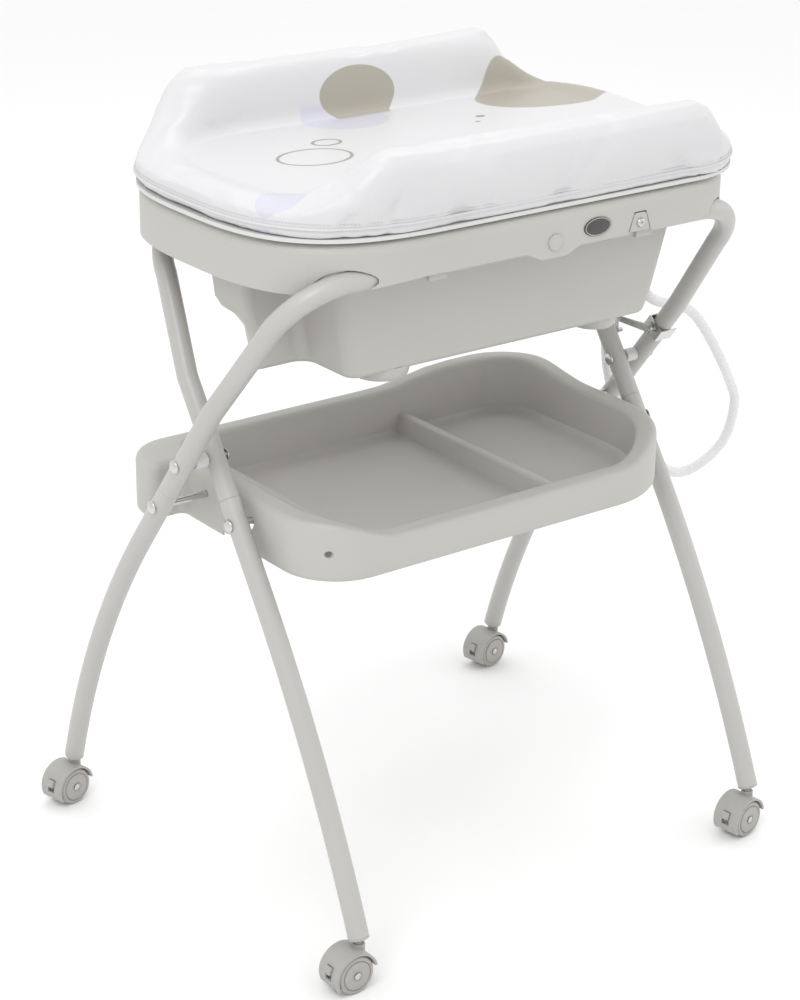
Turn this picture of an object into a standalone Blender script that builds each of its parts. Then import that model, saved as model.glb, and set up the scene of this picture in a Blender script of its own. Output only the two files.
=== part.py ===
"""Baby changing table with a bath on a folding X frame. Metres, +Z up, the near side at -Y."""

import math

import bmesh
import bpy
from mathutils import Matrix, Vector

# ---- driving sizes -------------------------------------------------------------------------
GAP = 0.0003
TUBE_R = 0.0125
TUBE_WALL = 0.0015
PIVOT_Z = 0.559
OUTER_X = 0.350
TUBE_SPACE = 0.0175
INNER_X = OUTER_X - 2 * TUBE_R - TUBE_SPACE
BAR_Z = 0.809
OUTER_BAR_Y = 0.19183
INNER_BAR_Y = 0.17182
OUTER_LEAN = math.atan2(OUTER_BAR_Y, BAR_Z - PIVOT_Z)
INNER_LEAN = math.atan2(INNER_BAR_Y, BAR_Z - PIVOT_Z)
BAR_BEND = 0.080
BAR_TAPER = 0.018
FOOT_Y = 0.287
SEAM_DROP = 0.052
LEG_STRAIGHT = 0.160
SPIGOT_R = TUBE_R - TUBE_WALL - GAP
LEG_BORE = TUBE_R - 2 * TUBE_WALL - GAP
SPIGOT_LENGTH = 0.022

WHEEL_R = 0.024
WHEEL_INNER_Y = 0.0025
WHEEL_OUTER_Y = 0.0180
CASTER_TRAIL = 0.014
HOOD_R = WHEEL_R + 0.0045
FOOT_Z = WHEEL_R + HOOD_R + 0.0095
HOOD_WALL = 0.0028
HOOD_HALF_WIDTH = 0.0186
STEM_R = 0.0040
NECK_R = 0.0075
NECK_CLEARANCE = 0.000226
AXLE_R = 0.0030
PLUG_LENGTH = 0.014
PLUG_FLANGE = 0.0015
PLUG_EDGE = 0.0020
BRAKE_HALF_WIDTH = 0.0052
HOOD_START = 12
HOOD_END = 208
BRAKE_START = 152
BRAKE_END = 170
BRAKE_TRAVEL = 14

RIM_LEFT = OUTER_X - 0.013
RIM_RIGHT = OUTER_X - 0.013
RIM_HALF_DEPTH = 0.216
RIM_LOW = BAR_Z - 0.002
RIM_DIP = 0.013
RIM_TOP = BAR_Z + 0.042
RIM_WALL = 0.003
RIM_EDGE = 0.012
RIM_CORNER = 0.130
END_START = 0.12
END_SQUARENESS = 3.0
BOWL_BOTTOM = RIM_TOP - 0.182
BOWL_WALL = 0.0035
BAR_CLIP_X = 0.150
SNAP_HALF = TUBE_R - 0.0007
BOWL_FEET = ((-0.145, -0.098, 0.032), (0.175, -0.098, 0.027), (-0.145, 0.030, 0.022))

BOARD_LOW = RIM_TOP + 0.0020
BOARD_TOP = BOARD_LOW + 0.0045
PAD_LOW = BOARD_TOP + GAP
PAD_FLOOR = BOARD_TOP + 0.0265
WING_TOP = PAD_FLOOR + 0.077
WING_LEAN = 0.009
WING_FADE = (0.215, 0.340)
PAD_LEFT = RIM_LEFT + 0.017
PAD_RIGHT = RIM_RIGHT + 0.021
PAD_HALF_DEPTH = RIM_HALF_DEPTH + 0.010
HINGE_Y = RIM_HALF_DEPTH + 0.0160
HINGE_Z = RIM_TOP - 0.0010
HINGE_R = 0.0048
HINGE_PIN_R = 0.0020
TOP_HINGE_X = 0.170
LUG_HALF = 0.0080
KNUCKLE = 0.0060

TRAY_BOLT_Z = PIVOT_Z - 0.0675
TRAY_LOW = TRAY_BOLT_Z - 0.0425
TRAY_FLOOR = TRAY_BOLT_Z - 0.0295
TRAY_NEAR_TOP = TRAY_BOLT_Z + 0.0015
TRAY_FAR_TOP = TRAY_BOLT_Z + 0.0285
TRAY_HUMP = 0.014
TRAY_WALL = 0.003
TRAY_END_X = INNER_X - TUBE_R - 0.0070
TRAY_LOBE_X = OUTER_X - 0.020
TRAY_HALF_DEPTH = 0.182
TRAY_FOLD_RATIO = 1.0
SLOT_CLEARANCE = 0.0012
DIVIDERS = (-0.215, 0.076)
DIVIDER_TOP = TRAY_BOLT_Z - 0.0045

BOLT_R = 0.0040
BOLT_HOLE_R = BOLT_R + GAP
BOLT_HEAD_R = 0.0080
DOME = 0.0035

HOSE_R = 0.0070
DRAIN_X = 0.200
DRAIN_Y = 0.022
DRAIN_Z = BOWL_BOTTOM - 0.0140
DRAIN_R = 0.0100
HOLDER_R = 0.0110
HOLDER_X = RIM_RIGHT - RIM_WALL - GAP - HOLDER_R
HOLDER_Y = 0.055

RIM_CAP_X = 0.010
BADGE_X = 0.072
BRACKET_X = 0.137

LATCH_UP = 0.055
CATCH_UP = 0.035
PEG_R = 0.0030

RING = 12
# Where the assembly's origin stands, so that the whole is centred on it.
CENTRE = (0.0147, 0.0016, 0.0)


# ---- helpers -------------------------------------------------------------------------------
def clear_scene():
    """Remove whatever the scene starts with."""
    for obj in list(bpy.data.objects):
        bpy.data.objects.remove(obj, do_unlink=True)


def make_material(name, colour, roughness, metallic=0.0):
    """A Principled material of one colour."""
    material = bpy.data.materials.new(name)
    material.use_nodes = True
    shader = material.node_tree.nodes["Principled BSDF"]
    shader.inputs["Base Color"].default_value = (*colour, 1.0)
    shader.inputs["Roughness"].default_value = roughness
    shader.inputs["Metallic"].default_value = metallic
    material.diffuse_color = (*colour, 1.0)
    return material


PAINT = (0.56, 0.53, 0.50)
SHELL = (0.60, 0.58, 0.54)
LOOKS = {
    "paint": (PAINT, 0.35, 0.0),
    "shell": (SHELL, 0.42, 0.0),
    "steel": ((0.62, 0.62, 0.62), 0.25, 1.0),
    "vinyl": ((0.86, 0.86, 0.87), 0.38, 0.0),
    "board": ((0.80, 0.80, 0.80), 0.50, 0.0),
    "hose": ((0.85, 0.86, 0.86), 0.30, 0.0),
    "badge": ((0.23, 0.22, 0.21), 0.35, 0.0),
    "wheel": ((0.62, 0.59, 0.56), 0.45, 0.0),
}


def finish(name, mesh, look, smooth=True):
    """Put a mesh in the scene under its node name, with its own material."""
    obj = bpy.data.objects.new(name, mesh)
    bpy.context.scene.collection.objects.link(obj)
    mesh.materials.clear()
    mesh.materials.append(make_material(name, *LOOKS[look]))
    if smooth:
        mesh.shade_smooth()
        mesh.set_sharp_from_angle(angle=math.radians(35))
    return obj


def mesh_of(points, faces):
    """A mesh from points and faces with its normals turned outwards."""
    mesh = bpy.data.meshes.new("solid")
    mesh.from_pydata([tuple(p) for p in points], [], faces)
    work = bmesh.new()
    work.from_mesh(mesh)
    bmesh.ops.recalc_face_normals(work, faces=work.faces)
    work.to_mesh(mesh)
    work.free()
    return mesh


def loft(loops, closed=False):
    """Skin closed loops of equal count; the ends are capped unless the stack closes on itself."""
    count = len(loops[0])
    points = [p for loop in loops for p in loop]
    faces = []
    steps = len(loops) if closed else len(loops) - 1
    for j in range(steps):
        low = j * count
        high = ((j + 1) % len(loops)) * count
        for i in range(count):
            k = (i + 1) % count
            faces.append((low + i, low + k, high + k, high + i))
    if not closed:
        faces.append(tuple(reversed(range(count))))
        faces.append(tuple(range((len(loops) - 1) * count, len(loops) * count)))
    return mesh_of(points, faces)


def tube_loops(path, radii, binormal, count=RING):
    """Rings of the given radii round a planar path, whose plane has this binormal."""
    loops = []
    for i, centre in enumerate(path):
        before = path[max(i - 1, 0)]
        after = path[min(i + 1, len(path) - 1)]
        side = (after - before).normalized().cross(binormal).normalized()
        turns = [2 * math.pi * k / count for k in range(count)]
        loops.append([centre + radii[i] * (math.cos(a) * side + math.sin(a) * binormal) for a in turns])
    return loops


def hollow_tube(path, outer, inner, binormal):
    """A tube open at both ends: the outer skin down one way and the bore back."""
    skin = tube_loops(path, outer, binormal)
    bore = tube_loops(path, inner, binormal)
    return loft(skin + bore[::-1], closed=True)


def revolve(profile, axis="Z", at=(0, 0, 0), count=24, heading=0.0):
    """Turn (radius, height) points round an axis through `at`; zero radii close the ends."""
    points = []
    rows = []
    for radius, height in profile:
        if radius < 1e-7:
            rows.append([len(points)])
            points.append(Vector((0, 0, height)))
            continue
        rows.append(list(range(len(points), len(points) + count)))
        turns = [2 * math.pi * k / count for k in range(count)]
        points += [Vector((radius * math.cos(a), radius * math.sin(a), height)) for a in turns]
    pairs = list(zip(rows, rows[1:]))
    if profile[0][0] > 1e-7:
        pairs.append((rows[-1], rows[0]))
    faces = []
    for low, high in pairs:
        for i in range(count):
            k = (i + 1) % count
            corners = [low[i % len(low)], low[k % len(low)], high[k % len(high)], high[i % len(high)]]
            faces.append(tuple(dict.fromkeys(corners)))
    turn = {"Z": Matrix.Identity(3), "X": Matrix.Rotation(math.pi / 2, 3, "Y"),
            "Y": Matrix.Rotation(-math.pi / 2, 3, "X")}[axis]
    turn = Matrix.Rotation(heading, 3, "Z") @ turn
    return mesh_of([turn @ p + Vector(at) for p in points], faces)


def box(low, high, turn=None, at=(0, 0, 0)):
    """A box between two corners, turned about the origin and then moved."""
    xs, ys, zs = zip(low, high)
    points = [Vector((x, y, z)) for z in zs for y in ys for x in xs]
    faces = [(0, 1, 3, 2), (4, 5, 7, 6), (0, 1, 5, 4), (2, 3, 7, 6), (0, 2, 6, 4), (1, 3, 7, 5)]
    turn = turn or Matrix.Identity(3)
    return mesh_of([turn @ p + Vector(at) for p in points], faces)


def rounded(corners, steps=5):
    """Points of a polygon whose (x, y, radius) corners, convex or hollow, are rounded."""
    points = []
    for i, (x, y, radius) in enumerate(corners):
        here = Vector((x, y))
        back = (Vector(corners[i - 1][:2]) - here).normalized()
        on = (Vector(corners[(i + 1) % len(corners)][:2]) - here).normalized()
        half = back.angle(on) / 2
        reach = radius / math.tan(half)
        centre = here + (back + on).normalized() * (radius / math.sin(half))
        start = here + back * reach - centre
        sweep = math.pi - 2 * half
        sweep *= 1 if back.cross(on) < 0 else -1
        for k in range(steps + 1):
            turn = Matrix.Rotation(sweep * k / steps, 2)
            points.append(centre + turn @ start)
    return points


def ramp(value, start, end):
    """A smooth step from 0 at start to 1 at end."""
    t = min(max((value - start) / (end - start), 0.0), 1.0)
    return t * t * (3 - 2 * t)


def at_height(outline, z):
    """Lift plan points to a height, or to the height that a function gives each."""
    return [Vector((p[0], p[1], z(p[0], p[1]) if callable(z) else z)) for p in outline]


def prism(outline, axis, low, high):
    """Push an outline given across an axis from low to high along it."""
    def place(p, t):
        return Vector((t, p[0], p[1])) if axis == "X" else Vector((p[0], t, p[1]))
    return loft([[place(p, low) for p in outline], [place(p, high) for p in outline]])


def combine(base, others, operation):
    """The exact Boolean of a mesh with each of the others in turn, as a new mesh."""
    body = bpy.data.objects.new("body", base)
    bpy.context.scene.collection.objects.link(body)
    helpers = []
    for other in others:
        tool = bpy.data.objects.new("tool", other)
        tool.hide_render = True
        tool.display_type = "WIRE"
        bpy.context.scene.collection.objects.link(tool)
        helpers.append(tool)
        step = body.modifiers.new("step", "BOOLEAN")
        step.solver = "EXACT"
        step.operation = operation
        step.object = tool
    graph = bpy.context.evaluated_depsgraph_get()
    result = bpy.data.meshes.new_from_object(body.evaluated_get(graph))
    for helper in [body] + helpers:
        bpy.data.objects.remove(helper, do_unlink=True)
    return result


def cut(base, *tools):
    return combine(base, tools, "DIFFERENCE")


def join(base, *parts):
    return combine(base, parts, "UNION")


def rod(radius, low, high, axis, at, count=RING):
    """A plain round rod along an axis."""
    return revolve([(0, low), (radius, low), (radius, high), (0, high)], axis, at, count)


# ---- frame ---------------------------------------------------------------------------------
def frame_point(side, distance, lean):
    """A point of an arm's centre line: distance up from the pivot, towards +Y when side is 1."""
    return Vector((0, side * distance * math.sin(lean), PIVOT_Z + distance * math.cos(lean)))


def upper_path(half_width, side, lean):
    """Centre line of an upper tube: up one arm, round two bends and down the other."""
    top = (BAR_Z - PIVOT_Z) / math.cos(lean)
    up = Vector((0, side * math.sin(lean), math.cos(lean)))
    foot = Vector((0, 0, PIVOT_Z))
    bend = [math.radians(a) for a in range(0, 91, 18)]
    inner_x = half_width - BAR_TAPER - BAR_BEND
    half = [Vector((half_width, 0, 0)) + foot + up * v for v in (-SEAM_DROP, 0.0, 0.10)]
    for a in bend:
        across = inner_x + BAR_BEND * math.cos(a)
        along = top - BAR_BEND + BAR_BEND * math.sin(a)
        half.append(Vector((across, 0, 0)) + foot + up * along)
    return half + [Vector((-p.x, p.y, p.z)) for p in reversed(half)]


def leg_path(x, side, lean):
    """Centre line of a lower leg: spigot, straight, then one arc down to the foot."""
    down = Vector((0, side * math.sin(lean), -math.cos(lean)))
    start = Vector((x, 0, PIVOT_Z)) + down * LEG_STRAIGHT
    foot = Vector((x, side * FOOT_Y, FOOT_Z))
    chord = foot - start
    turn = 2 * (lean - math.atan2(abs(chord.y), -chord.z))
    radius = chord.length / (2 * math.sin(turn / 2))
    path = [Vector((x, 0, PIVOT_Z)) + down * (SEAM_DROP + GAP + d)
            for d in (-SPIGOT_LENGTH, -0.0001, 0.0, 0.035)]
    steps = 7
    for k in range(steps + 1):
        a = lean - turn * k / steps
        across = radius * (math.cos(a) - math.cos(lean))
        drop = radius * (math.sin(lean) - math.sin(a))
        path.append(start + Vector((0, side * across, -drop)))
    last = path[-1] - path[-2]
    return path, math.atan2(abs(last.y), -last.z)


def make_upper(name, half_width, side, lean):
    """One inverted U of steel tube, drilled for its pivot bolts."""
    path = upper_path(half_width, side, lean)
    up = Vector((0, side * math.sin(lean), math.cos(lean)))
    normal = up.cross(Vector((1, 0, 0)))
    body = hollow_tube(path, [TUBE_R] * len(path), [TUBE_R - TUBE_WALL] * len(path), normal)
    reach = half_width + 2 * TUBE_R
    hole = rod(BOLT_HOLE_R, -reach, reach, "X", (0, 0, PIVOT_Z))
    return finish(name, cut(body, hole), "paint")


def bolt_y(side, lean):
    """Where a tray bolt crosses a leg at the bolt height."""
    return side * (PIVOT_Z - TRAY_BOLT_Z) * math.tan(lean)


def make_leg(name, x, side, lean):
    """One lower leg with its spigot, drilled for a tray bolt."""
    path, _ = leg_path(x, side, lean)
    outer = [SPIGOT_R, SPIGOT_R] + [TUBE_R] * (len(path) - 2)
    inner = [LEG_BORE] * len(path)
    body = hollow_tube(path, outer, inner, Vector((1, 0, 0)))
    hole = rod(BOLT_HOLE_R, -2 * TUBE_R, 2 * TUBE_R, "X", (x, bolt_y(side, lean), TRAY_BOLT_Z))
    return finish(name, cut(body, hole), "paint")


def domed_bolt(name, outer, inner, y, z):
    """A bolt along X with a dome at each end, from outer to inner along the X axis."""
    low, high = sorted((outer, inner))
    profile = [(0, low - DOME), (BOLT_HEAD_R * 0.7, low - DOME * 0.75), (BOLT_HEAD_R, low),
               (BOLT_R, low), (BOLT_R, high), (BOLT_HEAD_R, high),
               (BOLT_HEAD_R * 0.7, high + DOME * 0.75), (0, high + DOME)]
    return finish(name, revolve(profile, "X", (0, y, z), RING), "steel")


def make_frames():
    """Both U tubes, four legs, pivots with spacers, and the tray bolts."""
    make_upper("outer_frame", OUTER_X, -1, OUTER_LEAN)
    make_upper("inner_frame", INNER_X, 1, INNER_LEAN)
    for hand, sign in (("left", -1), ("right", 1)):
        make_leg("outer_leg_" + hand, sign * OUTER_X, 1, OUTER_LEAN)
        make_leg("inner_leg_" + hand, sign * INNER_X, -1, INNER_LEAN)
        outside = sign * (OUTER_X + TUBE_R + GAP)
        inside = sign * (INNER_X - TUBE_R - GAP)
        domed_bolt("pivot_bolt_" + hand, outside, inside, 0, PIVOT_Z)
        low, high = sorted((sign * (OUTER_X - TUBE_R - GAP), sign * (INNER_X + TUBE_R + GAP)))
        ring = [(BOLT_HOLE_R, low), (0.0085, low), (0.0085, high), (BOLT_HOLE_R, high)]
        finish("pivot_spacer_" + hand, revolve(ring, "X", (0, 0, PIVOT_Z), RING), "board")
        tip = sign * (TRAY_END_X - TRAY_WALL - 2 * GAP - 0.004)
        domed_bolt("tray_hinge_bolt_" + hand, outside, tip, bolt_y(1, OUTER_LEAN), TRAY_BOLT_Z)
        hook_outside = sign * (INNER_X + TUBE_R + GAP)
        domed_bolt("tray_hook_bolt_" + hand, hook_outside, tip, bolt_y(-1, INNER_LEAN), TRAY_BOLT_Z)


# ---- casters -------------------------------------------------------------------------------
def arc_points(radius, start, end, steps):
    """(x, z) points of an arc, angles in degrees from +X towards +Z."""
    turns = [math.radians(start + (end - start) * k / steps) for k in range(steps + 1)]
    return [(radius * math.cos(a), radius * math.sin(a)) for a in turns]


def shell_sector(inner, outer, start, end, half_width, steps):
    """A curved slab round the wheel axle, as a prism along Y."""
    outline = arc_points(outer, start, end, steps) + arc_points(inner, end, start, steps)
    return prism(outline, "Y", -half_width, half_width)


def turned(mesh, heading, at):
    """The mesh turned about Z and moved."""
    mesh.transform(Matrix.Translation(Vector(at)) @ Matrix.Rotation(heading, 4, "Z"))
    return mesh


def neck_drop():
    """How far below the leg's end the neck stops, so that it turns clear of the most tilted plug."""
    tilt = max(leg_path(x, side, lean)[1] for _, x, side, lean, _ in CASTERS)
    return (PLUG_FLANGE + PLUG_EDGE) / math.cos(tilt) + NECK_R * math.tan(tilt) + NECK_CLEARANCE


def hood_mesh():
    """The hood round the wheel centre: fender, web between the wheels, neck and stem."""
    inside = HOOD_R - HOOD_WALL
    fender = shell_sector(inside, HOOD_R, HOOD_START, HOOD_END, HOOD_HALF_WIDTH, 12)
    stem_top = FOOT_Z + 0.008 - WHEEL_R
    neck_top = FOOT_Z - neck_drop() - WHEEL_R
    neck = revolve([(0, 0.012), (NECK_R, 0.012), (NECK_R, neck_top), (STEM_R, neck_top),
                    (STEM_R, stem_top), (0, stem_top)], "Z", (CASTER_TRAIL, 0, 0), RING)
    neck = cut(neck, rod(inside + HOOD_WALL / 3, -0.03, 0.03, "Y", (0, 0, 0), 24))
    web_outline = arc_points(inside + 2 * GAP, HOOD_START, HOOD_END, 12) + [(-0.006, -0.008), (0.008, -0.006)]
    web_half = WHEEL_INNER_Y - 2 * GAP
    web = prism(web_outline, "Y", -web_half, web_half)
    window = shell_sector(HOOD_R - 2 * HOOD_WALL, HOOD_R + HOOD_WALL, BRAKE_START - 1.5,
                          BRAKE_END + BRAKE_TRAVEL + 3, BRAKE_HALF_WIDTH + 2 * GAP, 6)
    bore = rod(AXLE_R + GAP, -HOOD_HALF_WIDTH, HOOD_HALF_WIDTH, "Y", (0, 0, 0), 12)
    return cut(join(fender, neck, web), window, bore)


def wheel_mesh(side):
    """One of the twin wheels, with a raised hub cap inside a groove on its outer face."""
    bore = AXLE_R + GAP
    profile = [(bore, WHEEL_INNER_Y), (WHEEL_R - 0.0015, WHEEL_INNER_Y), (WHEEL_R, WHEEL_INNER_Y + 0.0015),
               (WHEEL_R, WHEEL_OUTER_Y - 0.003), (WHEEL_R - 0.003, WHEEL_OUTER_Y - 0.0008),
               (WHEEL_R - 0.0050, WHEEL_OUTER_Y - 0.0016), (WHEEL_R - 0.0055, WHEEL_OUTER_Y), (bore, WHEEL_OUTER_Y)]
    return revolve([(r, side * h) for r, h in profile], "Y", (0, 0, 0), 20)


def make_caster(name, x, side, heading):
    """A twin-wheel caster under one leg, its wheels trailing by its heading."""
    trail = Matrix.Rotation(heading, 3, "Z") @ Vector((-CASTER_TRAIL, 0, 0))
    hub = Vector((x, side * FOOT_Y, WHEEL_R)) + trail
    finish(name + "_hood", turned(hood_mesh(), heading, hub), "wheel")
    end = WHEEL_OUTER_Y + GAP
    axle = [(0, -end - 0.0012), (AXLE_R + 0.0012, -end - 0.0004), (AXLE_R + 0.0012, -end), (AXLE_R, -end),
            (AXLE_R, end), (AXLE_R + 0.0012, end), (AXLE_R + 0.0012, end + 0.0004), (0, end + 0.0012)]
    finish(name + "_axle", turned(revolve(axle, "Y", (0, 0, 0), 10), heading, hub), "steel")
    for word, sign in (("near", -1), ("far", 1)):
        finish(name + "_wheel_" + word, turned(wheel_mesh(sign), heading, hub), "wheel")
    tab = shell_sector(HOOD_R - HOOD_WALL + GAP, HOOD_R + 0.0035, BRAKE_START, BRAKE_END, BRAKE_HALF_WIDTH, 3)
    finish(name + "_brake", turned(tab, heading, hub), "wheel")


def make_plug(name, x, side, lean):
    """The plastic plug in a leg's end, bored upright for the caster stem."""
    path, end_lean = leg_path(x, side, lean)
    spigot = LEG_BORE - 2 * GAP
    profile = [(0, PLUG_LENGTH), (spigot - 0.0006, PLUG_LENGTH), (spigot, PLUG_LENGTH / 2), (spigot, -GAP),
               (TUBE_R, -GAP), (TUBE_R, -PLUG_FLANGE), (TUBE_R - 0.003, -PLUG_FLANGE - PLUG_EDGE),
               (0, -PLUG_FLANGE - PLUG_EDGE)]
    body = revolve(profile, "Z", (0, 0, 0), RING)
    body.transform(Matrix.Translation(path[-1]) @ Matrix.Rotation(side * end_lean, 4, "X"))
    socket = rod(STEM_R + GAP, -0.02, 0.008 + GAP, "Z", path[-1], 12)
    finish(name + "_plug", cut(body, socket), "shell")


CASTERS = (
    ("caster_far_left", -OUTER_X, 1, OUTER_LEAN, math.radians(12)),
    ("caster_near_left", -INNER_X, -1, INNER_LEAN, math.radians(0)),
    ("caster_near_right", INNER_X, -1, INNER_LEAN, math.radians(8)),
    ("caster_far_right", OUTER_X, 1, OUTER_LEAN, math.radians(8)),
)


def make_casters():
    for name, x, side, lean, heading in CASTERS:
        make_plug(name, x, side, lean)
        make_caster(name, x, side, heading)


# ---- tub -----------------------------------------------------------------------------------
def egg(left, right, half_depth, corner, steps=8):
    """Plan outline with a blunt rounded end at the left and rounded corners at the right."""
    points = []
    for sign, start in ((-1, -90), (1, 0)):
        for k in range(steps // 2 + 1):
            a = math.radians(start + 90 * k / (steps // 2))
            x = right - corner + corner * math.cos(a)
            points.append(Vector((x, sign * (half_depth - corner) + corner * math.sin(a))))
    power = 2 / END_SQUARENESS
    for k in range(2 * steps + 1):
        a = math.radians(90 + 180 * k / (2 * steps))
        x = -END_START - (left - END_START) * abs(math.cos(a)) ** power
        points.append(Vector((x, math.copysign(half_depth * abs(math.sin(a)) ** power, math.sin(a)))))
    return points


def rim_outline(inset=0.0):
    return egg(RIM_LEFT - inset, RIM_RIGHT - inset, RIM_HALF_DEPTH - inset, RIM_CORNER - inset)


def rim_low(x, y):
    """Height of the apron's lower edge, which dips at the left end."""
    return RIM_LOW - RIM_DIP * ramp(-x, 0.15, 0.32)


def bowl_outline(t, inset=0.0):
    """Plan of the bowl, t from 0 at its bottom to 1 under the rim."""
    right = 0.236 + 0.038 * t - inset
    near = -(0.134 + 0.016 * t) + inset
    far = 0.146 - 0.066 * (1 - t) ** 2 - inset
    left = -(0.213 + 0.030 * t) + inset
    nose = -(0.282 + 0.026 * t) + inset
    nose_far = -(0.245 + 0.026 * t) - 0.037 * ramp(t, 0.20, 0.42) + inset
    low_y = -(0.046 + 0.006 * t) + inset
    high_y = 0.024 - inset

    def convex(radius):
        return max(radius - inset, 0.0015)

    return rounded([
        (right, near, convex(0.018)), (right, far, convex(0.030)), (left, far, convex(0.024)),
        (left, high_y, 0.008 + inset), (nose_far, high_y, convex(0.010)), (nose, low_y, convex(0.010)),
        (left, low_y, 0.014 + inset), (left, near, convex(0.020))], 3)


def bowl_loops(low, high, inset):
    """Loops of the bowl's wall from a rounded bottom edge up to a height."""
    loops = []
    for extra, rise in ((0.010, 0.0), (0.003, 0.0035), (0.0, 0.011)):
        loops.append(at_height(bowl_outline(0.0, inset + extra), low + rise))
    for t in (0.22, 0.45, 1.0):
        loops.append(at_height(bowl_outline(t, inset), BOWL_BOTTOM + t * (high - BOWL_BOTTOM)))
    return loops


def arm_clearance(half_width, side, lean):
    """A solid round a whole upper tube, wider by a working clearance."""
    path = upper_path(half_width, side, lean)
    up = Vector((0, side * math.sin(lean), math.cos(lean)))
    normal = up.cross(Vector((1, 0, 0)))
    return loft(tube_loops(path, [TUBE_R + 0.0025] * len(path), normal, 12))


def bar_y(side, lean):
    return side * (BAR_Z - PIVOT_Z) * math.tan(lean)


def make_tub():
    """Bath with a deep apron rim, a stepped bowl, feet, bar clips and saddles."""
    edge = RIM_EDGE
    loops = [at_height(rim_outline(edge), RIM_TOP - RIM_WALL),
             at_height(rim_outline(RIM_WALL), RIM_TOP - edge - RIM_WALL),
             at_height(rim_outline(RIM_WALL), rim_low), at_height(rim_outline(0.0), rim_low)]
    for k in range(5):
        a = math.radians(90 * k / 4)
        loops.append(at_height(rim_outline(edge * (1 - math.cos(a))), RIM_TOP - edge + edge * math.sin(a)))
    rim = loft(loops)
    bowl = loft(bowl_loops(BOWL_BOTTOM, RIM_TOP - 0.002, 0.0))
    basin = loft(bowl_loops(BOWL_BOTTOM + BOWL_WALL, RIM_TOP + 0.01, BOWL_WALL))
    feet = [revolve([(0, 0), (r, 0), (r + 0.003, 0.012), (r + 0.003, 0.016), (0, 0.016)], "Z",
                    (x, y, BOWL_BOTTOM - 0.012), RING)
            for x, y, r in BOWL_FEET]
    near_y = bar_y(-1, OUTER_LEAN)
    far_y = bar_y(1, INNER_LEAN)
    clips = []
    grooves = []
    for x in (-BAR_CLIP_X, BAR_CLIP_X):
        clips.append(box((x - 0.012, near_y - 0.018, BAR_Z - 0.011), (x + 0.012, near_y + 0.018, RIM_TOP - 0.003)))
        grooves.append(rod(TUBE_R + GAP, x - 0.02, x + 0.02, "X", (0, near_y, BAR_Z), 24))
        grooves.append(box((x - 0.02, near_y - SNAP_HALF, BAR_Z - 0.02), (x + 0.02, near_y + SNAP_HALF, BAR_Z)))
        clips.append(box((x - 0.012, far_y - 0.010, BAR_Z + TUBE_R + GAP), (x + 0.012, far_y + 0.020, RIM_TOP - 0.003)))
        clips.append(box((x - 0.012, far_y + TUBE_R + 2 * GAP, BAR_Z - 0.006), (x + 0.012, far_y + 0.020, RIM_TOP - 0.003)))
    bulge = prism([(-0.045, 0.004), (-0.018, -0.010), (0.018, -0.010), (0.045, 0.004)], "Y",
                  -RIM_HALF_DEPTH, -RIM_HALF_DEPTH + RIM_WALL)
    bulge.transform(Matrix.Translation((RIM_CAP_X, 0, RIM_LOW)))
    notch = prism([(-0.018, -0.001), (0.018, -0.001), (0.009, 0.024), (-0.009, 0.024)], "Y",
                  -RIM_HALF_DEPTH - 0.01, -RIM_HALF_DEPTH + 0.008)
    notch.transform(Matrix.Translation((BRACKET_X, 0, RIM_LOW)))
    drain = rod(DRAIN_R + GAP, -0.01, 0.012, "Z", (DRAIN_X, DRAIN_Y, BOWL_BOTTOM), RING)
    shell = join(rim, bowl, bulge, *feet, *clips)
    shell = cut(shell, basin, notch, drain, *grooves,
                arm_clearance(OUTER_X, -1, OUTER_LEAN), arm_clearance(INNER_X, 1, INNER_LEAN))
    return finish("tub", shell, "shell")


def make_rim_trim():
    """Cover cap, plain oval badge, and the bracket with its screw on the near apron."""
    face = -RIM_HALF_DEPTH - GAP
    cap = revolve([(0, 0), (0.0095, 0), (0.0095, -0.001), (0.0085, -0.0020), (0, -0.0020)], "Y",
                  (RIM_CAP_X, face, RIM_LOW + 0.008), 24)
    finish("rim_cap", cap, "shell")
    badge = revolve([(0, 0), (0.0130, 0), (0.0130, -0.0008), (0.0120, -0.0014), (0, -0.0014)], "Y",
                    (0, 0, 0), 28)
    badge.transform(Matrix.Translation((BADGE_X, face, RIM_LOW + 0.0165)) @ Matrix.Diagonal((1.55, 1, 0.85, 1)))
    finish("rim_badge", badge, "badge")
    lift = RIM_LOW + 0.001
    plate = prism([(-0.0155, 0), (0.0155, 0), (0.0085, 0.0215), (-0.0085, 0.0215)], "Y",
                  -RIM_HALF_DEPTH - 0.0005, -RIM_HALF_DEPTH + RIM_WALL)
    plate.transform(Matrix.Translation((BRACKET_X, 0, lift)))
    hole = rod(0.0028 + GAP, -0.02, 0.02, "Y", (BRACKET_X, -RIM_HALF_DEPTH, lift + 0.010), 12)
    finish("bar_bracket", cut(plate, hole), "shell")
    screw = revolve([(0, 0.004), (0.0028, 0.004), (0.0028, -0.0005 - GAP), (0.0055, -0.0005 - GAP),
                     (0.0048, -0.0030), (0, -0.0036)], "Y", (BRACKET_X, -RIM_HALF_DEPTH, lift + 0.010), RING)
    finish("bracket_screw", screw, "steel")


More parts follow.
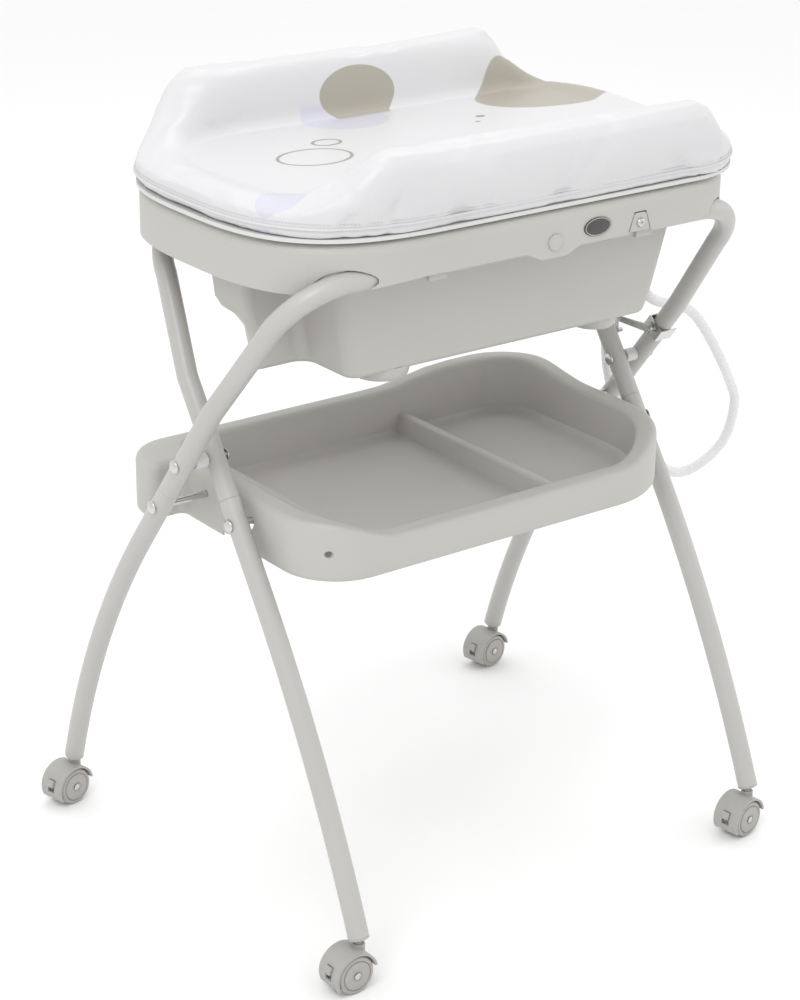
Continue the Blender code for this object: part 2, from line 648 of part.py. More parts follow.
# ---- drain hose ----------------------------------------------------------------------------
HOSE_ROUTE = (
    (DRAIN_X + 0.0183, DRAIN_Y, DRAIN_Z), (0.250, 0.022, 0.655), (0.290, 0.022, 0.657), (0.330, 0.022, 0.654),
    (0.366, 0.025, 0.637), (0.398, 0.030, 0.612), (0.464, 0.034, 0.586), (0.516, 0.042, 0.532),
    (0.570, 0.055, 0.458), (0.590, 0.063, 0.415), (0.578, 0.072, 0.358), (0.524, 0.082, 0.326),
    (0.474, 0.088, 0.348), (0.408, 0.098, 0.445), (0.391, 0.100, 0.474),
    (0.374, 0.093, 0.518), (0.357, 0.077, 0.560), (0.345, 0.063, 0.610), (0.340, 0.057, 0.660),
    (0.331, 0.055, 0.708), (HOLDER_X, HOLDER_Y, 0.750), (HOLDER_X, HOLDER_Y, 0.776), (HOLDER_X, HOLDER_Y, 0.802),
)


def smooth_route(route, spacing):
    """Points every `spacing` along a Catmull-Rom curve through the route."""
    route = [Vector(p) for p in route]
    dense = []
    for i in range(len(route) - 1):
        a = route[max(i - 1, 0)]
        b = route[i]
        c = route[i + 1]
        d = route[min(i + 2, len(route) - 1)]
        for k in range(12):
            t = k / 12
            dense.append(0.5 * (2 * b + (c - a) * t + (2 * a - 5 * b + 4 * c - d) * t * t
                                + (3 * b - a - 3 * c + d) * t ** 3))
    dense.append(route[-1])
    lengths = [(q - p).length for p, q in zip(dense, dense[1:])]
    count = round(sum(lengths) / spacing)
    points = [dense[0]]
    travelled = 0.0
    for q, step in zip(dense[1:], lengths):
        travelled += step
        if travelled >= len(points) * sum(lengths) / count - 1e-6 and len(points) < count:
            points.append(q)
    return points + [dense[-1]]


def make_hose():
    """The drain hose, its spigot under the bowl, and the holder that keeps its free end."""
    points = smooth_route(HOSE_ROUTE, 2.2 * HOSE_R * 2)
    curve = bpy.data.curves.new("drain_hose", "CURVE")
    curve.dimensions = "3D"
    curve.bevel_depth = HOSE_R
    curve.bevel_resolution = 2
    curve.use_fill_caps = True
    spline = curve.splines.new("POLY")
    spline.points.add(len(points) - 1)
    for point, place in zip(spline.points, points):
        point.co = (*place, 1.0)
    obj = bpy.data.objects.new("drain_hose", curve)
    bpy.context.scene.collection.objects.link(obj)
    curve.materials.append(make_material("drain_hose", *LOOKS["hose"]))
    return obj


def make_drain():
    """Elbow spigot through the bowl's floor, the bath plug, and the cup that parks the hose end."""
    floor = BOWL_BOTTOM + BOWL_WALL + GAP
    here = (DRAIN_X, DRAIN_Y, 0)
    stem = revolve([(0, DRAIN_Z), (DRAIN_R, DRAIN_Z), (DRAIN_R, floor), (0.016, floor), (0.0150, floor + 0.002),
                    (0, floor + 0.002)], "Z", here, RING)
    barrel = rod(DRAIN_R, -DRAIN_R, 0.030, "X", (DRAIN_X, DRAIN_Y, DRAIN_Z), RING)
    hose_socket = rod(HOSE_R + GAP, 0.018, 0.040, "X", (DRAIN_X, DRAIN_Y, DRAIN_Z), RING)
    waterway = rod(0.0045, 0.0, 0.020, "X", (DRAIN_X, DRAIN_Y, DRAIN_Z), 10)
    throat = rod(0.0060, DRAIN_Z, floor + 0.01, "Z", here, RING)
    finish("drain_spigot", cut(join(stem, barrel), hose_socket, waterway, throat), "shell")
    top = floor + 0.002 + GAP
    plug = [(0, top - 0.007), (0.0050, top - 0.007), (0.0057, top), (0.0100, top), (0.0095, top + 0.003),
            (0.003, top + 0.0035), (0.003, top + 0.008), (0, top + 0.008)]
    finish("drain_plug", revolve(plug, "Z", here, RING), "wheel")
    low = HOSE_ROUTE[-1][2] - 0.012
    high = RIM_TOP - RIM_EDGE - RIM_WALL
    cup = [(HOSE_R + GAP, low), (HOLDER_R, low), (HOLDER_R, high), (HOSE_R + GAP, high)]
    finish("hose_holder", revolve(cup, "Z", (HOLDER_X, HOLDER_Y, 0), RING), "shell")


# ---- changing top --------------------------------------------------------------------------
def pad_outline(inset=0.0):
    return egg(PAD_LEFT - inset, PAD_RIGHT - inset, PAD_HALF_DEPTH - inset, RIM_CORNER - inset)


def fade(x):
    """How much of the wing's height stands at this distance along the table: 1, falling to 0."""
    return 1 - ramp(abs(x), WING_FADE[0], WING_FADE[1])


def make_changing_top():
    """The stiff board with its hinge knuckles, and the padded top with two raised wings."""
    board = loft([at_height(pad_outline(0.012), z) for z in (BOARD_LOW, BOARD_TOP)])
    tools = []
    arm_top = BOARD_LOW + 0.0030
    for x in (-TOP_HINGE_X, TOP_HINGE_X):
        for side in (-1, 1):
            low, high = sorted((x + side * (LUG_HALF + GAP), x + side * (LUG_HALF + GAP + KNUCKLE)))
            board = join(board, rod(HINGE_R, low, high, "X", (0, HINGE_Y, HINGE_Z), RING),
                         box((low, HINGE_Y - 0.030, BOARD_LOW), (high, HINGE_Y, arm_top)))
        reach = LUG_HALF + KNUCKLE + 0.002
        tools.append(rod(HINGE_PIN_R + GAP, x - reach, x + reach, "X", (0, HINGE_Y, HINGE_Z), 10))
        tools.append(box((x - LUG_HALF - GAP, HINGE_Y - 0.012, BOARD_LOW - 0.01), (x + LUG_HALF + GAP, HINGE_Y + 0.01, BOARD_TOP + 0.01)))
    finish("top_board", cut(board, *tools), "board")
    for hand, x in (("left", -TOP_HINGE_X), ("right", TOP_HINGE_X)):
        here = (x, HINGE_Y, HINGE_Z)
        end = LUG_HALF + KNUCKLE + 0.0005
        pin = [(0, -end), (HINGE_PIN_R, -end), (HINGE_PIN_R, end), (0, end)]
        finish("top_hinge_pin_" + hand, revolve(pin, "X", here, 10), "steel")
        foot = RIM_HALF_DEPTH + GAP
        lug = join(rod(HINGE_R, -LUG_HALF, LUG_HALF, "X", here, RING),
                   box((x - LUG_HALF, foot, HINGE_Z - 0.026), (x + LUG_HALF, foot + 0.0035, HINGE_Z - 0.001)),
                   box((x - LUG_HALF, foot, HINGE_Z - 0.0048), (x + LUG_HALF, HINGE_Y, HINGE_Z - 0.0012)))
        bore = rod(HINGE_PIN_R + GAP, -0.01, 0.01, "X", here, 10)
        finish("top_hinge_lug_" + hand, cut(lug, bore), "shell")
    rise = WING_TOP - PAD_FLOOR
    sections = [(0.040, PAD_LOW, 0.0), (0.006, PAD_LOW, 0.0), (0.0, PAD_LOW + 0.005, 0.0), (0.0, PAD_FLOOR - 0.008, 0.0),
                (0.001, PAD_FLOOR + 0.003, 0.45), (0.006, PAD_FLOOR + 0.004, 0.80), (0.016, PAD_FLOOR + 0.005, 0.96),
                (0.028, PAD_FLOOR + 0.005, 1.0 - 0.005 / rise), (0.040, PAD_FLOOR + 0.004, 0.92),
                (0.050, PAD_FLOOR + 0.002, 0.60), (0.058, PAD_FLOOR, 0.15), (0.066, PAD_FLOOR, 0.0), (0.120, PAD_FLOOR + 0.001, 0.0)]
    base = pad_outline(0.0)
    loops = []
    for inset, height, share in sections:
        ring = pad_outline(inset)
        loops.append([Vector((p.x, p.y, height + (rise + math.copysign(WING_LEAN, q.y)) * share * fade(q.x)))
                      for p, q in zip(ring, base)])
    finish("top_pad", loft(loops), "vinyl")


# ---- tray ----------------------------------------------------------------------------------
def tray_outline(inset=0.0):
    near = -TRAY_HALF_DEPTH + inset
    far = TRAY_HALF_DEPTH - inset
    right = TRAY_END_X - inset
    return rounded([
        (right, near, 0.130 - inset), (right, far, 0.085 - inset), (-TRAY_LOBE_X + inset, far, 0.055 - inset),
        (-TRAY_LOBE_X + inset, 0.104 + inset, 0.012), (-right, 0.104 + inset, 0.010),
        (-right, near, 0.075 - inset)], 5)


def tray_top(x, y):
    """Height of the tray's rim: low along the near side, high behind, with a hump at the far right."""
    lift = max(ramp(y, -0.13, 0.03), ramp(abs(x), 0.17, 0.27))
    hump = ramp(x, 0.04, 0.16) * ramp(y, 0.02, 0.14)
    return TRAY_NEAR_TOP + (TRAY_FAR_TOP - TRAY_NEAR_TOP) * lift + TRAY_HUMP * hump


def below_top(drop):
    return lambda x, y: tray_top(x, y) - drop


def basin_outline(inset):
    """Plan of the tray's sunk basin, with a corner for each corner of the tray's outline."""
    x = TRAY_END_X - 0.026 - inset
    y = TRAY_HALF_DEPTH - 0.026 - inset
    return rounded([
        (x, -y, 0.102 - inset), (x, y, 0.062 - inset), (-x - 0.006, y, 0.045 - inset),
        (-x - 0.006, 0.082, 0.020), (-x, 0.062, 0.020), (-x, -y, 0.050 - inset)], 5)


def hook_slot():
    """Outline of the open slot that lets the tray ride off its hook bolts as the frame folds."""
    start = Vector((bolt_y(-1, INNER_LEAN), TRAY_BOLT_Z))
    pivot = Vector((0, PIVOT_Z))
    hinge = Vector((bolt_y(1, OUTER_LEAN), TRAY_BOLT_Z))
    route = []
    for k in range(8):
        fold = math.radians(5 * k)
        world = pivot + Matrix.Rotation(fold, 2) @ (start - pivot)
        route.append(hinge + Matrix.Rotation(fold * TRAY_FOLD_RATIO, 2) @ (world - hinge))
    half = BOLT_R + SLOT_CLEARANCE
    one_side = []
    other_side = []
    for k, point in enumerate(route):
        along = (route[min(k + 1, 7)] - route[max(k - 1, 0)]).normalized()
        across = Vector((-along.y, along.x)) * half
        one_side.append(point + across)
        other_side.append(point - across)
    first = one_side[0] - route[0]
    cap = [route[0] + Matrix.Rotation(-math.radians(t), 2) @ first for t in (-45, -90, -135)]
    return one_side[::-1] + cap + other_side


def make_tray():
    """Moulded tray: skirt, wide rim, three compartments, hinge holes and hook slots."""
    low = TRAY_LOW
    floor = TRAY_FLOOR
    wall = TRAY_WALL
    inside = [(0.018, floor), (0.008, floor + 0.005), (0.001, below_top(0.004)), (-0.004, below_top(0.0))]
    skirt = [(0.009, below_top(0.0)), (0.003, below_top(0.003)), (0.0, below_top(0.009)), (0.0, low + 0.006),
             (0.002, low), (wall + 0.001, low), (wall, low + 0.004), (wall, below_top(0.013)),
             (0.010, below_top(wall + 0.001))]
    below = [(-0.007, below_top(wall + 0.0015)), (-0.002, below_top(0.010)), (0.004, floor + 0.003),
             (0.014, floor - wall)]
    shell = loft([at_height(basin_outline(i), z) for i, z in inside]
                 + [at_height(tray_outline(i), z) for i, z in skirt]
                 + [at_height(basin_outline(i), z) for i, z in below])
    ribs = []
    for x in DIVIDERS:
        foot = TRAY_FLOOR - 0.001
        outline = [(x - 0.009, foot), (x + 0.009, foot), (x + 0.005, DIVIDER_TOP), (x - 0.005, DIVIDER_TOP)]
        depth = TRAY_HALF_DEPTH - 0.031
        ribs.append(prism(outline, "Y", -depth, depth))
    shell = join(shell, *ribs)
    inner_x = TRAY_END_X - 0.012
    outer_x = TRAY_END_X + 0.010
    bolt = (0, bolt_y(1, OUTER_LEAN), TRAY_BOLT_Z)
    tools = []
    for side in (-1, 1):
        tools.append(prism(hook_slot(), "X", *sorted((side * inner_x, side * outer_x))))
        tools.append(rod(BOLT_HOLE_R, *sorted((side * inner_x, side * outer_x)), "X", bolt))
    tools.append(rod(0.0042, -0.02, 0.02, "Y", (-0.262, -TRAY_HALF_DEPTH + 0.006, 0.483)))
    finish("tray", cut(shell, *tools), "shell")


# ---- latch ---------------------------------------------------------------------------------
def make_latch():
    """Safety hook by the right pivot: channel and pin on the outer arm, hook, and the inner arm's peg."""
    centre = frame_point(-1, LATCH_UP, OUTER_LEAN) + Vector((OUTER_X, 0, 0))
    turn = Matrix.Rotation(OUTER_LEAN, 3, "X")
    half = TUBE_R + GAP
    sheet = 0.0015
    inner_face = OUTER_X - half - sheet
    channel = cut(box((-half - sheet, -half - sheet, -0.010), (half, half + sheet, 0.010), turn, centre),
                  box((-half, -half, -0.012), (half + 0.01, half, 0.012), turn, centre),
                  rod(HINGE_PIN_R + GAP, inner_face - 0.005, inner_face + 0.005, "X", (0, centre.y, centre.z), 10))
    finish("latch_channel", channel, "steel")
    plate_high = inner_face - 2 * GAP - 0.005
    plate_low = plate_high - 0.0025
    pin = [(0, plate_low - GAP - 0.002), (0.0040, plate_low - GAP - 0.002), (0.0040, plate_low - GAP),
           (HINGE_PIN_R, plate_low - GAP), (HINGE_PIN_R, plate_high + GAP), (0.0035, plate_high + GAP),
           (0.0035, inner_face - GAP), (HINGE_PIN_R, inner_face - GAP), (HINGE_PIN_R, inner_face + sheet),
           (0, inner_face + sheet)]
    finish("latch_pin", revolve(pin, "X", (0, centre.y, centre.z), 10), "steel")
    peg_centre = frame_point(1, CATCH_UP, INNER_LEAN)
    face = INNER_X + TUBE_R + GAP
    peg = [(0, face), (0.0055, face), (0.0055, face + 0.002), (PEG_R, face + 0.002), (PEG_R, plate_high + 0.0015),
           (0, plate_high + 0.0015)]
    finish("latch_catch", revolve(peg, "X", (0, peg_centre.y, peg_centre.z), 12), "steel")
    tip_y = peg_centre.y + PEG_R + 0.0007
    shank = peg_centre.z + 0.0108
    outline = rounded([
        (centre.y - 0.0065, centre.z - 0.0055, 0.005), (centre.y + 0.008, shank, 0.004), (tip_y, shank, 0.001),
        (tip_y, peg_centre.z - 0.0033, 0.001), (tip_y + 0.0055, peg_centre.z - 0.0033, 0.002),
        (tip_y + 0.0055, shank + 0.0075, 0.005), (centre.y - 0.0065, centre.z + 0.0065, 0.005)], 3)
    plate = prism(outline, "X", plate_low, plate_high)
    lip = box((plate_low, tip_y + 0.001, shank + 0.004), (plate_high + 0.004, tip_y + 0.0055, shank + 0.0075))
    bore = rod(HINGE_PIN_R + GAP, plate_low - 0.002, plate_high + 0.002, "X", (0, centre.y, centre.z), 10)
    finish("latch_hook", cut(join(plate, lip), bore), "steel")


# ---- bodies --------------------------------------------------------------------------------
def add_empty(name, at, parent=None):
    """An empty at a point, kept there whatever its parent's place is."""
    empty = bpy.data.objects.new(name, None)
    bpy.context.scene.collection.objects.link(empty)
    empty.location = Vector(at) - (Vector(parent["at"]) if parent else Vector())
    empty["at"] = tuple(at)
    empty.parent = parent
    return empty


def hang(empty, starts):
    """Parent the loose nodes whose names start so to an empty, leaving them in place."""
    for obj in list(bpy.data.objects):
        if obj.parent is None and obj.type != "EMPTY" and obj.name.startswith(starts):
            obj.parent = empty
            obj.location = -Vector(empty["at"])


def group_bodies():
    """Hang every node from an empty on its joint's axis, and centre the whole over the origin."""
    root = add_empty("body_root", (0, 0, 0))
    pivot = (0, 0, PIVOT_Z)
    for name, x, side, _, heading in CASTERS:
        foot = Vector((x, side * FOOT_Y, 0))
        hub = foot + Vector((0, 0, WHEEL_R)) + Matrix.Rotation(heading, 3, "Z") @ Vector((-CASTER_TRAIL, 0, 0))
        leg = add_empty("body_" + name, foot, root)
        wheels = add_empty("body_" + name + "_wheels", hub, leg)
        hang(wheels, (name + "_wheel", name + "_brake"))
        hang(leg, (name + "_hood", name + "_axle"))
    hook = frame_point(-1, LATCH_UP, OUTER_LEAN)
    hang(add_empty("body_hook", hook, root), ("latch_hook",))
    hang(add_empty("body_inner", pivot, root), ("inner_", "tray_hook_bolt", "caster_near", "latch_catch"))
    outer = add_empty("body_outer", pivot, root)
    hang(outer, ("tray_hinge_bolt",))
    hang(add_empty("body_tray", (0, bolt_y(1, OUTER_LEAN), TRAY_BOLT_Z), root), ("tray",))
    tub = add_empty("body_tub", (0, bar_y(-1, OUTER_LEAN), BAR_Z), root)
    hang(add_empty("body_top", (0, HINGE_Y, HINGE_Z), tub), ("top_board", "top_pad"))
    hang(tub, ("tub", "rim_", "bar_bracket", "bracket_screw", "drain_", "hose_holder", "top_hinge"))
    hang(outer, ("",))
    root.location = CENTRE


def main():
    clear_scene()
    make_frames()
    make_casters()
    make_tub()
    make_rim_trim()
    make_hose()
    make_drain()
    make_changing_top()
    make_tray()
    make_latch()
    group_bodies()


main()
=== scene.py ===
"""Folding baby changing table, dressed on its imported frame. A Blender add-on that is run as a script."""

import math

import bmesh
import bpy
from bpy.props import FloatProperty, FloatVectorProperty, PointerProperty
from mathutils import Matrix, Vector
from mathutils.bvhtree import BVHTree


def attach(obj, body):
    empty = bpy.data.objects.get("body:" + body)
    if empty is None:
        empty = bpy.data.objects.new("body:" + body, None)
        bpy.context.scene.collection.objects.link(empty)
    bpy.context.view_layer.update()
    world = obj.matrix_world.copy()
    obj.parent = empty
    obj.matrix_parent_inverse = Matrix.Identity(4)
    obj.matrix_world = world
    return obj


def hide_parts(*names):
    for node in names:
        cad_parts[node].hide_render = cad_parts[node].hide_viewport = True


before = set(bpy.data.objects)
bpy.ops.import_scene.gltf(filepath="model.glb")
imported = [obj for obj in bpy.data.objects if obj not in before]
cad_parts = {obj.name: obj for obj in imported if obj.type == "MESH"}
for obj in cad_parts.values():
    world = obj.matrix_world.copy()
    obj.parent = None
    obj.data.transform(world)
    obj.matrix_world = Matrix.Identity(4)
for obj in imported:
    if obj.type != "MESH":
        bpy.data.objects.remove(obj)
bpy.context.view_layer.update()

bl_info = {
    "name": "Changing Table",
    "version": (1, 0, 0),
    "blender": (4, 5, 0),
    "location": "3D View > Sidebar > Changing Table",
    "description": "Builds the looks of a folding baby changing table on its packed frame",
    "category": "Object",
}

# ---- sizes shared with the frame, in metres, before the whole is centred ----------------------
CENTRE = Vector((0.0147, 0.0016, 0.0))
GAP = 0.0003
TUBE_R = 0.0125
PIVOT_Z = 0.559
OUTER_X = 0.350
TUBE_SPACE = 0.0175
INNER_X = OUTER_X - 2 * TUBE_R - TUBE_SPACE
BAR_Z = 0.809
OUTER_BAR_Y = 0.19183
INNER_BAR_Y = 0.17182
OUTER_LEAN = math.atan2(OUTER_BAR_Y, BAR_Z - PIVOT_Z)
INNER_LEAN = math.atan2(INNER_BAR_Y, BAR_Z - PIVOT_Z)
BAR_BEND = 0.080
BAR_TAPER = 0.018
FOOT_Y = 0.287
SEAM_DROP = 0.052
LEG_STRAIGHT = 0.160

WHEEL_R = 0.024
WHEEL_INNER_Y = 0.0025
WHEEL_OUTER_Y = 0.0180
CASTER_TRAIL = 0.014
HOOD_R = WHEEL_R + 0.0045
FOOT_Z = WHEEL_R + HOOD_R + 0.0095
HOOD_WALL = 0.0028
HOOD_HALF_WIDTH = 0.0186
HOOD_START = 12
HOOD_END = 208
BRAKE_START = 152
BRAKE_END = 170
BRAKE_TRAVEL = 14
BRAKE_HALF_WIDTH = 0.0052
STEM_R = 0.0040
NECK_R = 0.0075
NECK_DROP = 0.0072
AXLE_R = 0.0030
PLUG_FLANGE = 0.0015
PLUG_EDGE = 0.0020

RIM_LEFT = OUTER_X - 0.013
RIM_RIGHT = OUTER_X - 0.013
RIM_HALF_DEPTH = 0.216
RIM_LOW = BAR_Z - 0.002
RIM_DIP = 0.013
RIM_TOP = BAR_Z + 0.042
RIM_WALL = 0.003
RIM_EDGE = 0.012
RIM_CORNER = 0.130
END_START = 0.12
END_SQUARENESS = 3.0
BOWL_BOTTOM = RIM_TOP - 0.182
BOWL_WALL = 0.0035
BAR_CLIP_X = 0.150
SNAP_HALF = TUBE_R - 0.0007
BOWL_FEET = ((-0.145, -0.098, 0.032), (0.175, -0.098, 0.027), (-0.145, 0.030, 0.022))
RIM_CAP_X = 0.010
BADGE_X = 0.072
BRACKET_X = 0.137

BOARD_LOW = RIM_TOP + 0.0020
BOARD_TOP = BOARD_LOW + 0.0045
PAD_LOW = BOARD_TOP + GAP
PAD_FLOOR = BOARD_TOP + 0.0265
PAD_SEAM_Z = BOARD_TOP + 0.0115
WING_TOP = PAD_FLOOR + 0.077
WING_LEAN = 0.009
WING_FADE = (0.215, 0.340)
PAD_LEFT = RIM_LEFT + 0.017
PAD_RIGHT = RIM_RIGHT + 0.021
PAD_HALF_DEPTH = RIM_HALF_DEPTH + 0.010
HINGE_Y = RIM_HALF_DEPTH + 0.0160
HINGE_Z = RIM_TOP - 0.0010
HINGE_R = 0.0048
HINGE_PIN_R = 0.0020
TOP_HINGE_X = 0.170
LUG_HALF = 0.0080
KNUCKLE = 0.0060

TRAY_BOLT_Z = PIVOT_Z - 0.0675
TRAY_LOW = TRAY_BOLT_Z - 0.0425
TRAY_FLOOR = TRAY_BOLT_Z - 0.0295
TRAY_NEAR_TOP = TRAY_BOLT_Z + 0.0015
TRAY_FAR_TOP = TRAY_BOLT_Z + 0.0285
TRAY_HUMP = 0.014
TRAY_WALL = 0.003
TRAY_END_X = INNER_X - TUBE_R - 0.0070
TRAY_LOBE_X = OUTER_X - 0.020
TRAY_HALF_DEPTH = 0.182
SLOT_CLEARANCE = 0.0012
DIVIDERS = (-0.215, 0.076)
DIVIDER_TOP = TRAY_BOLT_Z - 0.0045

BOLT_R = 0.0040
BOLT_HEAD_R = 0.0080
DOME = 0.0035

HOSE_R = 0.0070
DRAIN_X = 0.200
DRAIN_Y = 0.022
DRAIN_Z = BOWL_BOTTOM - 0.0140
DRAIN_R = 0.0100
HOLDER_R = 0.0110
HOLDER_X = RIM_RIGHT - RIM_WALL - GAP - HOLDER_R
HOLDER_Y = 0.055
HOSE_ROUTE = (
    (DRAIN_X + 0.0183, DRAIN_Y, DRAIN_Z), (0.250, 0.022, 0.655), (0.290, 0.022, 0.657), (0.330, 0.022, 0.654),
    (0.366, 0.025, 0.637), (0.398, 0.030, 0.612), (0.464, 0.034, 0.586), (0.516, 0.042, 0.532),
    (0.570, 0.055, 0.458), (0.590, 0.063, 0.415), (0.578, 0.072, 0.358), (0.524, 0.082, 0.326),
    (0.474, 0.088, 0.348), (0.408, 0.098, 0.445), (0.391, 0.100, 0.474),
    (0.374, 0.093, 0.518), (0.357, 0.077, 0.560), (0.345, 0.063, 0.610), (0.340, 0.057, 0.660),
    (0.331, 0.055, 0.708), (HOLDER_X, HOLDER_Y, 0.750), (HOLDER_X, HOLDER_Y, 0.776), (HOLDER_X, HOLDER_Y, 0.802),
)

CASTERS = (
    ("far_left", -OUTER_X, 1, OUTER_LEAN, math.radians(12), "outer_assembly"),
    ("near_left", -INNER_X, -1, INNER_LEAN, math.radians(0), "inner_assembly"),
    ("near_right", INNER_X, -1, INNER_LEAN, math.radians(8), "inner_assembly"),
    ("far_right", OUTER_X, 1, OUTER_LEAN, math.radians(8), "outer_assembly"),
)

# ---- smoothness of the finished shapes ---------------------------------------------------------
ROUND = 48
SMALL_ROUND = 28
TUBE_SIDES = 36
CORNER_STEPS = 12
TRAY_CORNER_STEPS = 16
TRAY_SIDE_STEPS = 12
SHARP_ANGLE = math.radians(35)

# ---- camera ------------------------------------------------------------------------------------
EYE = Vector((-1.728, -2.237, 1.593)) + CENTRE
AZIMUTH = math.radians(-37.04)
ELEVATION = math.radians(22.325)
ROLL = math.radians(0.751)
SENSOR_HEIGHT = 24.0
FOCAL_SHARE = 2.4618


# ---- mesh helpers ------------------------------------------------------------------------------
def mesh_of(points, faces):
    """A mesh from points and faces with its normals turned outwards."""
    mesh = bpy.data.meshes.new("solid")
    mesh.from_pydata([tuple(p) for p in points], [], faces)
    face_out(mesh)
    return mesh


def face_out(mesh):
    """Turn every face of a closed mesh outwards."""
    work = bmesh.new()
    work.from_mesh(mesh)
    bmesh.ops.recalc_face_normals(work, faces=work.faces)
    work.to_mesh(mesh)
    work.free()


def loft(loops, closed=False):
    """Skin closed loops of equal count; the ends are capped unless the stack closes on itself."""
    count = len(loops[0])
    points = [p for loop in loops for p in loop]
    faces = []
    steps = len(loops) if closed else len(loops) - 1
    for j in range(steps):
        low = j * count
        high = ((j + 1) % len(loops)) * count
        for i in range(count):
            k = (i + 1) % count
            faces.append((low + i, low + k, high + k, high + i))
    if not closed:
        faces.append(tuple(reversed(range(count))))
        faces.append(tuple(range((len(loops) - 1) * count, len(loops) * count)))
    return mesh_of(points, faces)


def revolve(profile, axis="Z", at=(0, 0, 0), count=ROUND):
    """Turn (radius, height) points round an axis through `at`; zero radii close the ends."""
    points = []
    rows = []
    for radius, height in profile:
        if radius < 1e-7:
            rows.append([len(points)])
            points.append(Vector((0, 0, height)))
            continue
        rows.append(list(range(len(points), len(points) + count)))
        turns = [2 * math.pi * k / count for k in range(count)]
        points += [Vector((radius * math.cos(a), radius * math.sin(a), height)) for a in turns]
    pairs = list(zip(rows, rows[1:]))
    if profile[0][0] > 1e-7:
        pairs.append((rows[-1], rows[0]))
    faces = []
    for low, high in pairs:
        for i in range(count):
            k = (i + 1) % count
            corners = [low[i % len(low)], low[k % len(low)], high[k % len(high)], high[i % len(high)]]
            faces.append(tuple(dict.fromkeys(corners)))
    turn = {"Z": Matrix.Identity(3), "X": Matrix.Rotation(math.pi / 2, 3, "Y"),
            "Y": Matrix.Rotation(-math.pi / 2, 3, "X")}[axis]
    return mesh_of([turn @ p + Vector(at) for p in points], faces)


def box(low, high):
    """A box between two corners."""
    xs, ys, zs = zip(low, high)
    points = [(x, y, z) for z in zs for y in ys for x in xs]
    faces = [(0, 1, 3, 2), (4, 5, 7, 6), (0, 1, 5, 4), (2, 3, 7, 6), (0, 2, 6, 4), (1, 3, 7, 5)]
    return mesh_of(points, faces)


def rounded(corners, steps=CORNER_STEPS, between=0):
    """Points of a polygon whose (x, y, radius) corners are rounded, with some between on each side."""
    arcs = []
    for i, (x, y, radius) in enumerate(corners):
        here = Vector((x, y))
        back = (Vector(corners[i - 1][:2]) - here).normalized()
        on = (Vector(corners[(i + 1) % len(corners)][:2]) - here).normalized()
        half = back.angle(on) / 2
        reach = radius / math.tan(half)
        centre = here + (back + on).normalized() * (radius / math.sin(half))
        start = here + back * reach - centre
        sweep = math.pi - 2 * half
        sweep *= 1 if back.cross(on) < 0 else -1
        arcs.append([centre + Matrix.Rotation(sweep * k / steps, 2) @ start for k in range(steps + 1)])
    points = []
    for arc, following in zip(arcs, arcs[1:] + arcs[:1]):
        points += arc
        points += [arc[-1].lerp(following[0], k / (between + 1)) for k in range(1, between + 1)]
    return points


def turned_profile(corners, steps=4):
    """A closed (radius, height) profile with rounded corners, for revolve."""
    return [(p.x, p.y) for p in rounded(corners, steps)]


def ramp(value, start, end):
    """A smooth step from 0 at start to 1 at end."""
    t = min(max((value - start) / (end - start), 0.0), 1.0)
    return t * t * (3 - 2 * t)


def at_height(outline, z):
    """Lift plan points to a height, or to the height that a function gives each."""
    return [Vector((p[0], p[1], z(p[0], p[1]) if callable(z) else z)) for p in outline]


def prism(outline, axis, low, high):
    """Push an outline given across an axis from low to high along it."""
    def place(p, t):
        return Vector((t, p[0], p[1])) if axis == "X" else Vector((p[0], t, p[1]))
    return loft([[place(p, low) for p in outline], [place(p, high) for p in outline]])


def rod(radius, low, high, axis, at, count=SMALL_ROUND):
    """A plain round rod along an axis."""
    return revolve([(0, low), (radius, low), (radius, high), (0, high)], axis, at, count)


def combine(base, others, operation):
    """The exact Boolean of a mesh with each of the others in turn, as a new mesh."""
    body = bpy.data.objects.new("body", base)
    bpy.context.scene.collection.objects.link(body)
    helpers = [body]
    for other in others:
        tool = bpy.data.objects.new("tool", other)
        bpy.context.scene.collection.objects.link(tool)
        helpers.append(tool)
        step = body.modifiers.new("step", "BOOLEAN")
        step.solver = "EXACT"
        step.operation = operation
        step.object = tool
    return baked(body, helpers)


def baked(obj, helpers):
    """The evaluated mesh of an object, whose helpers and itself are then removed."""
    graph = bpy.context.evaluated_depsgraph_get()
    result = bpy.data.meshes.new_from_object(obj.evaluated_get(graph))
    for helper in helpers:
        bpy.data.objects.remove(helper, do_unlink=True)
    return result


def cut(base, *tools):
    return combine(base, tools, "DIFFERENCE")


def join(base, *parts):
    return combine(base, parts, "UNION")


def turned(mesh, heading, at):
    """The mesh turned about Z and moved."""
    mesh.transform(Matrix.Translation(Vector(at)) @ Matrix.Rotation(heading, 4, "Z"))
    return mesh


def piece(name, mesh, look, body, stands_for=(), soften=0.0):
    """Put a finished mesh on its body in place of the CAD nodes that it stands for."""
    mesh.transform(Matrix.Translation(CENTRE))
    mesh.materials.clear()
    mesh.materials.append(material(look))
    mesh.shade_smooth()
    mesh.set_sharp_from_angle(angle=SHARP_ANGLE)
    obj = bpy.data.objects.new(name, mesh)
    bpy.context.scene.collection.objects.link(obj)
    if soften:
        bevel = obj.modifiers.new("soft_edges", "BEVEL")
        bevel.width = soften
        bevel.segments = 3
        bevel.limit_method = "ANGLE"
        bevel.angle_limit = SHARP_ANGLE
        bevel.harden_normals = True
    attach(obj, body)
    if stands_for:
        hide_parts(*stands_for)
    return obj


def dress(look, *nodes):
    """Give CAD nodes that keep their own shape a finish."""
    for node in nodes:
        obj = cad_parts[node]
        obj.data.materials.clear()
        obj.data.materials.append(material(look))


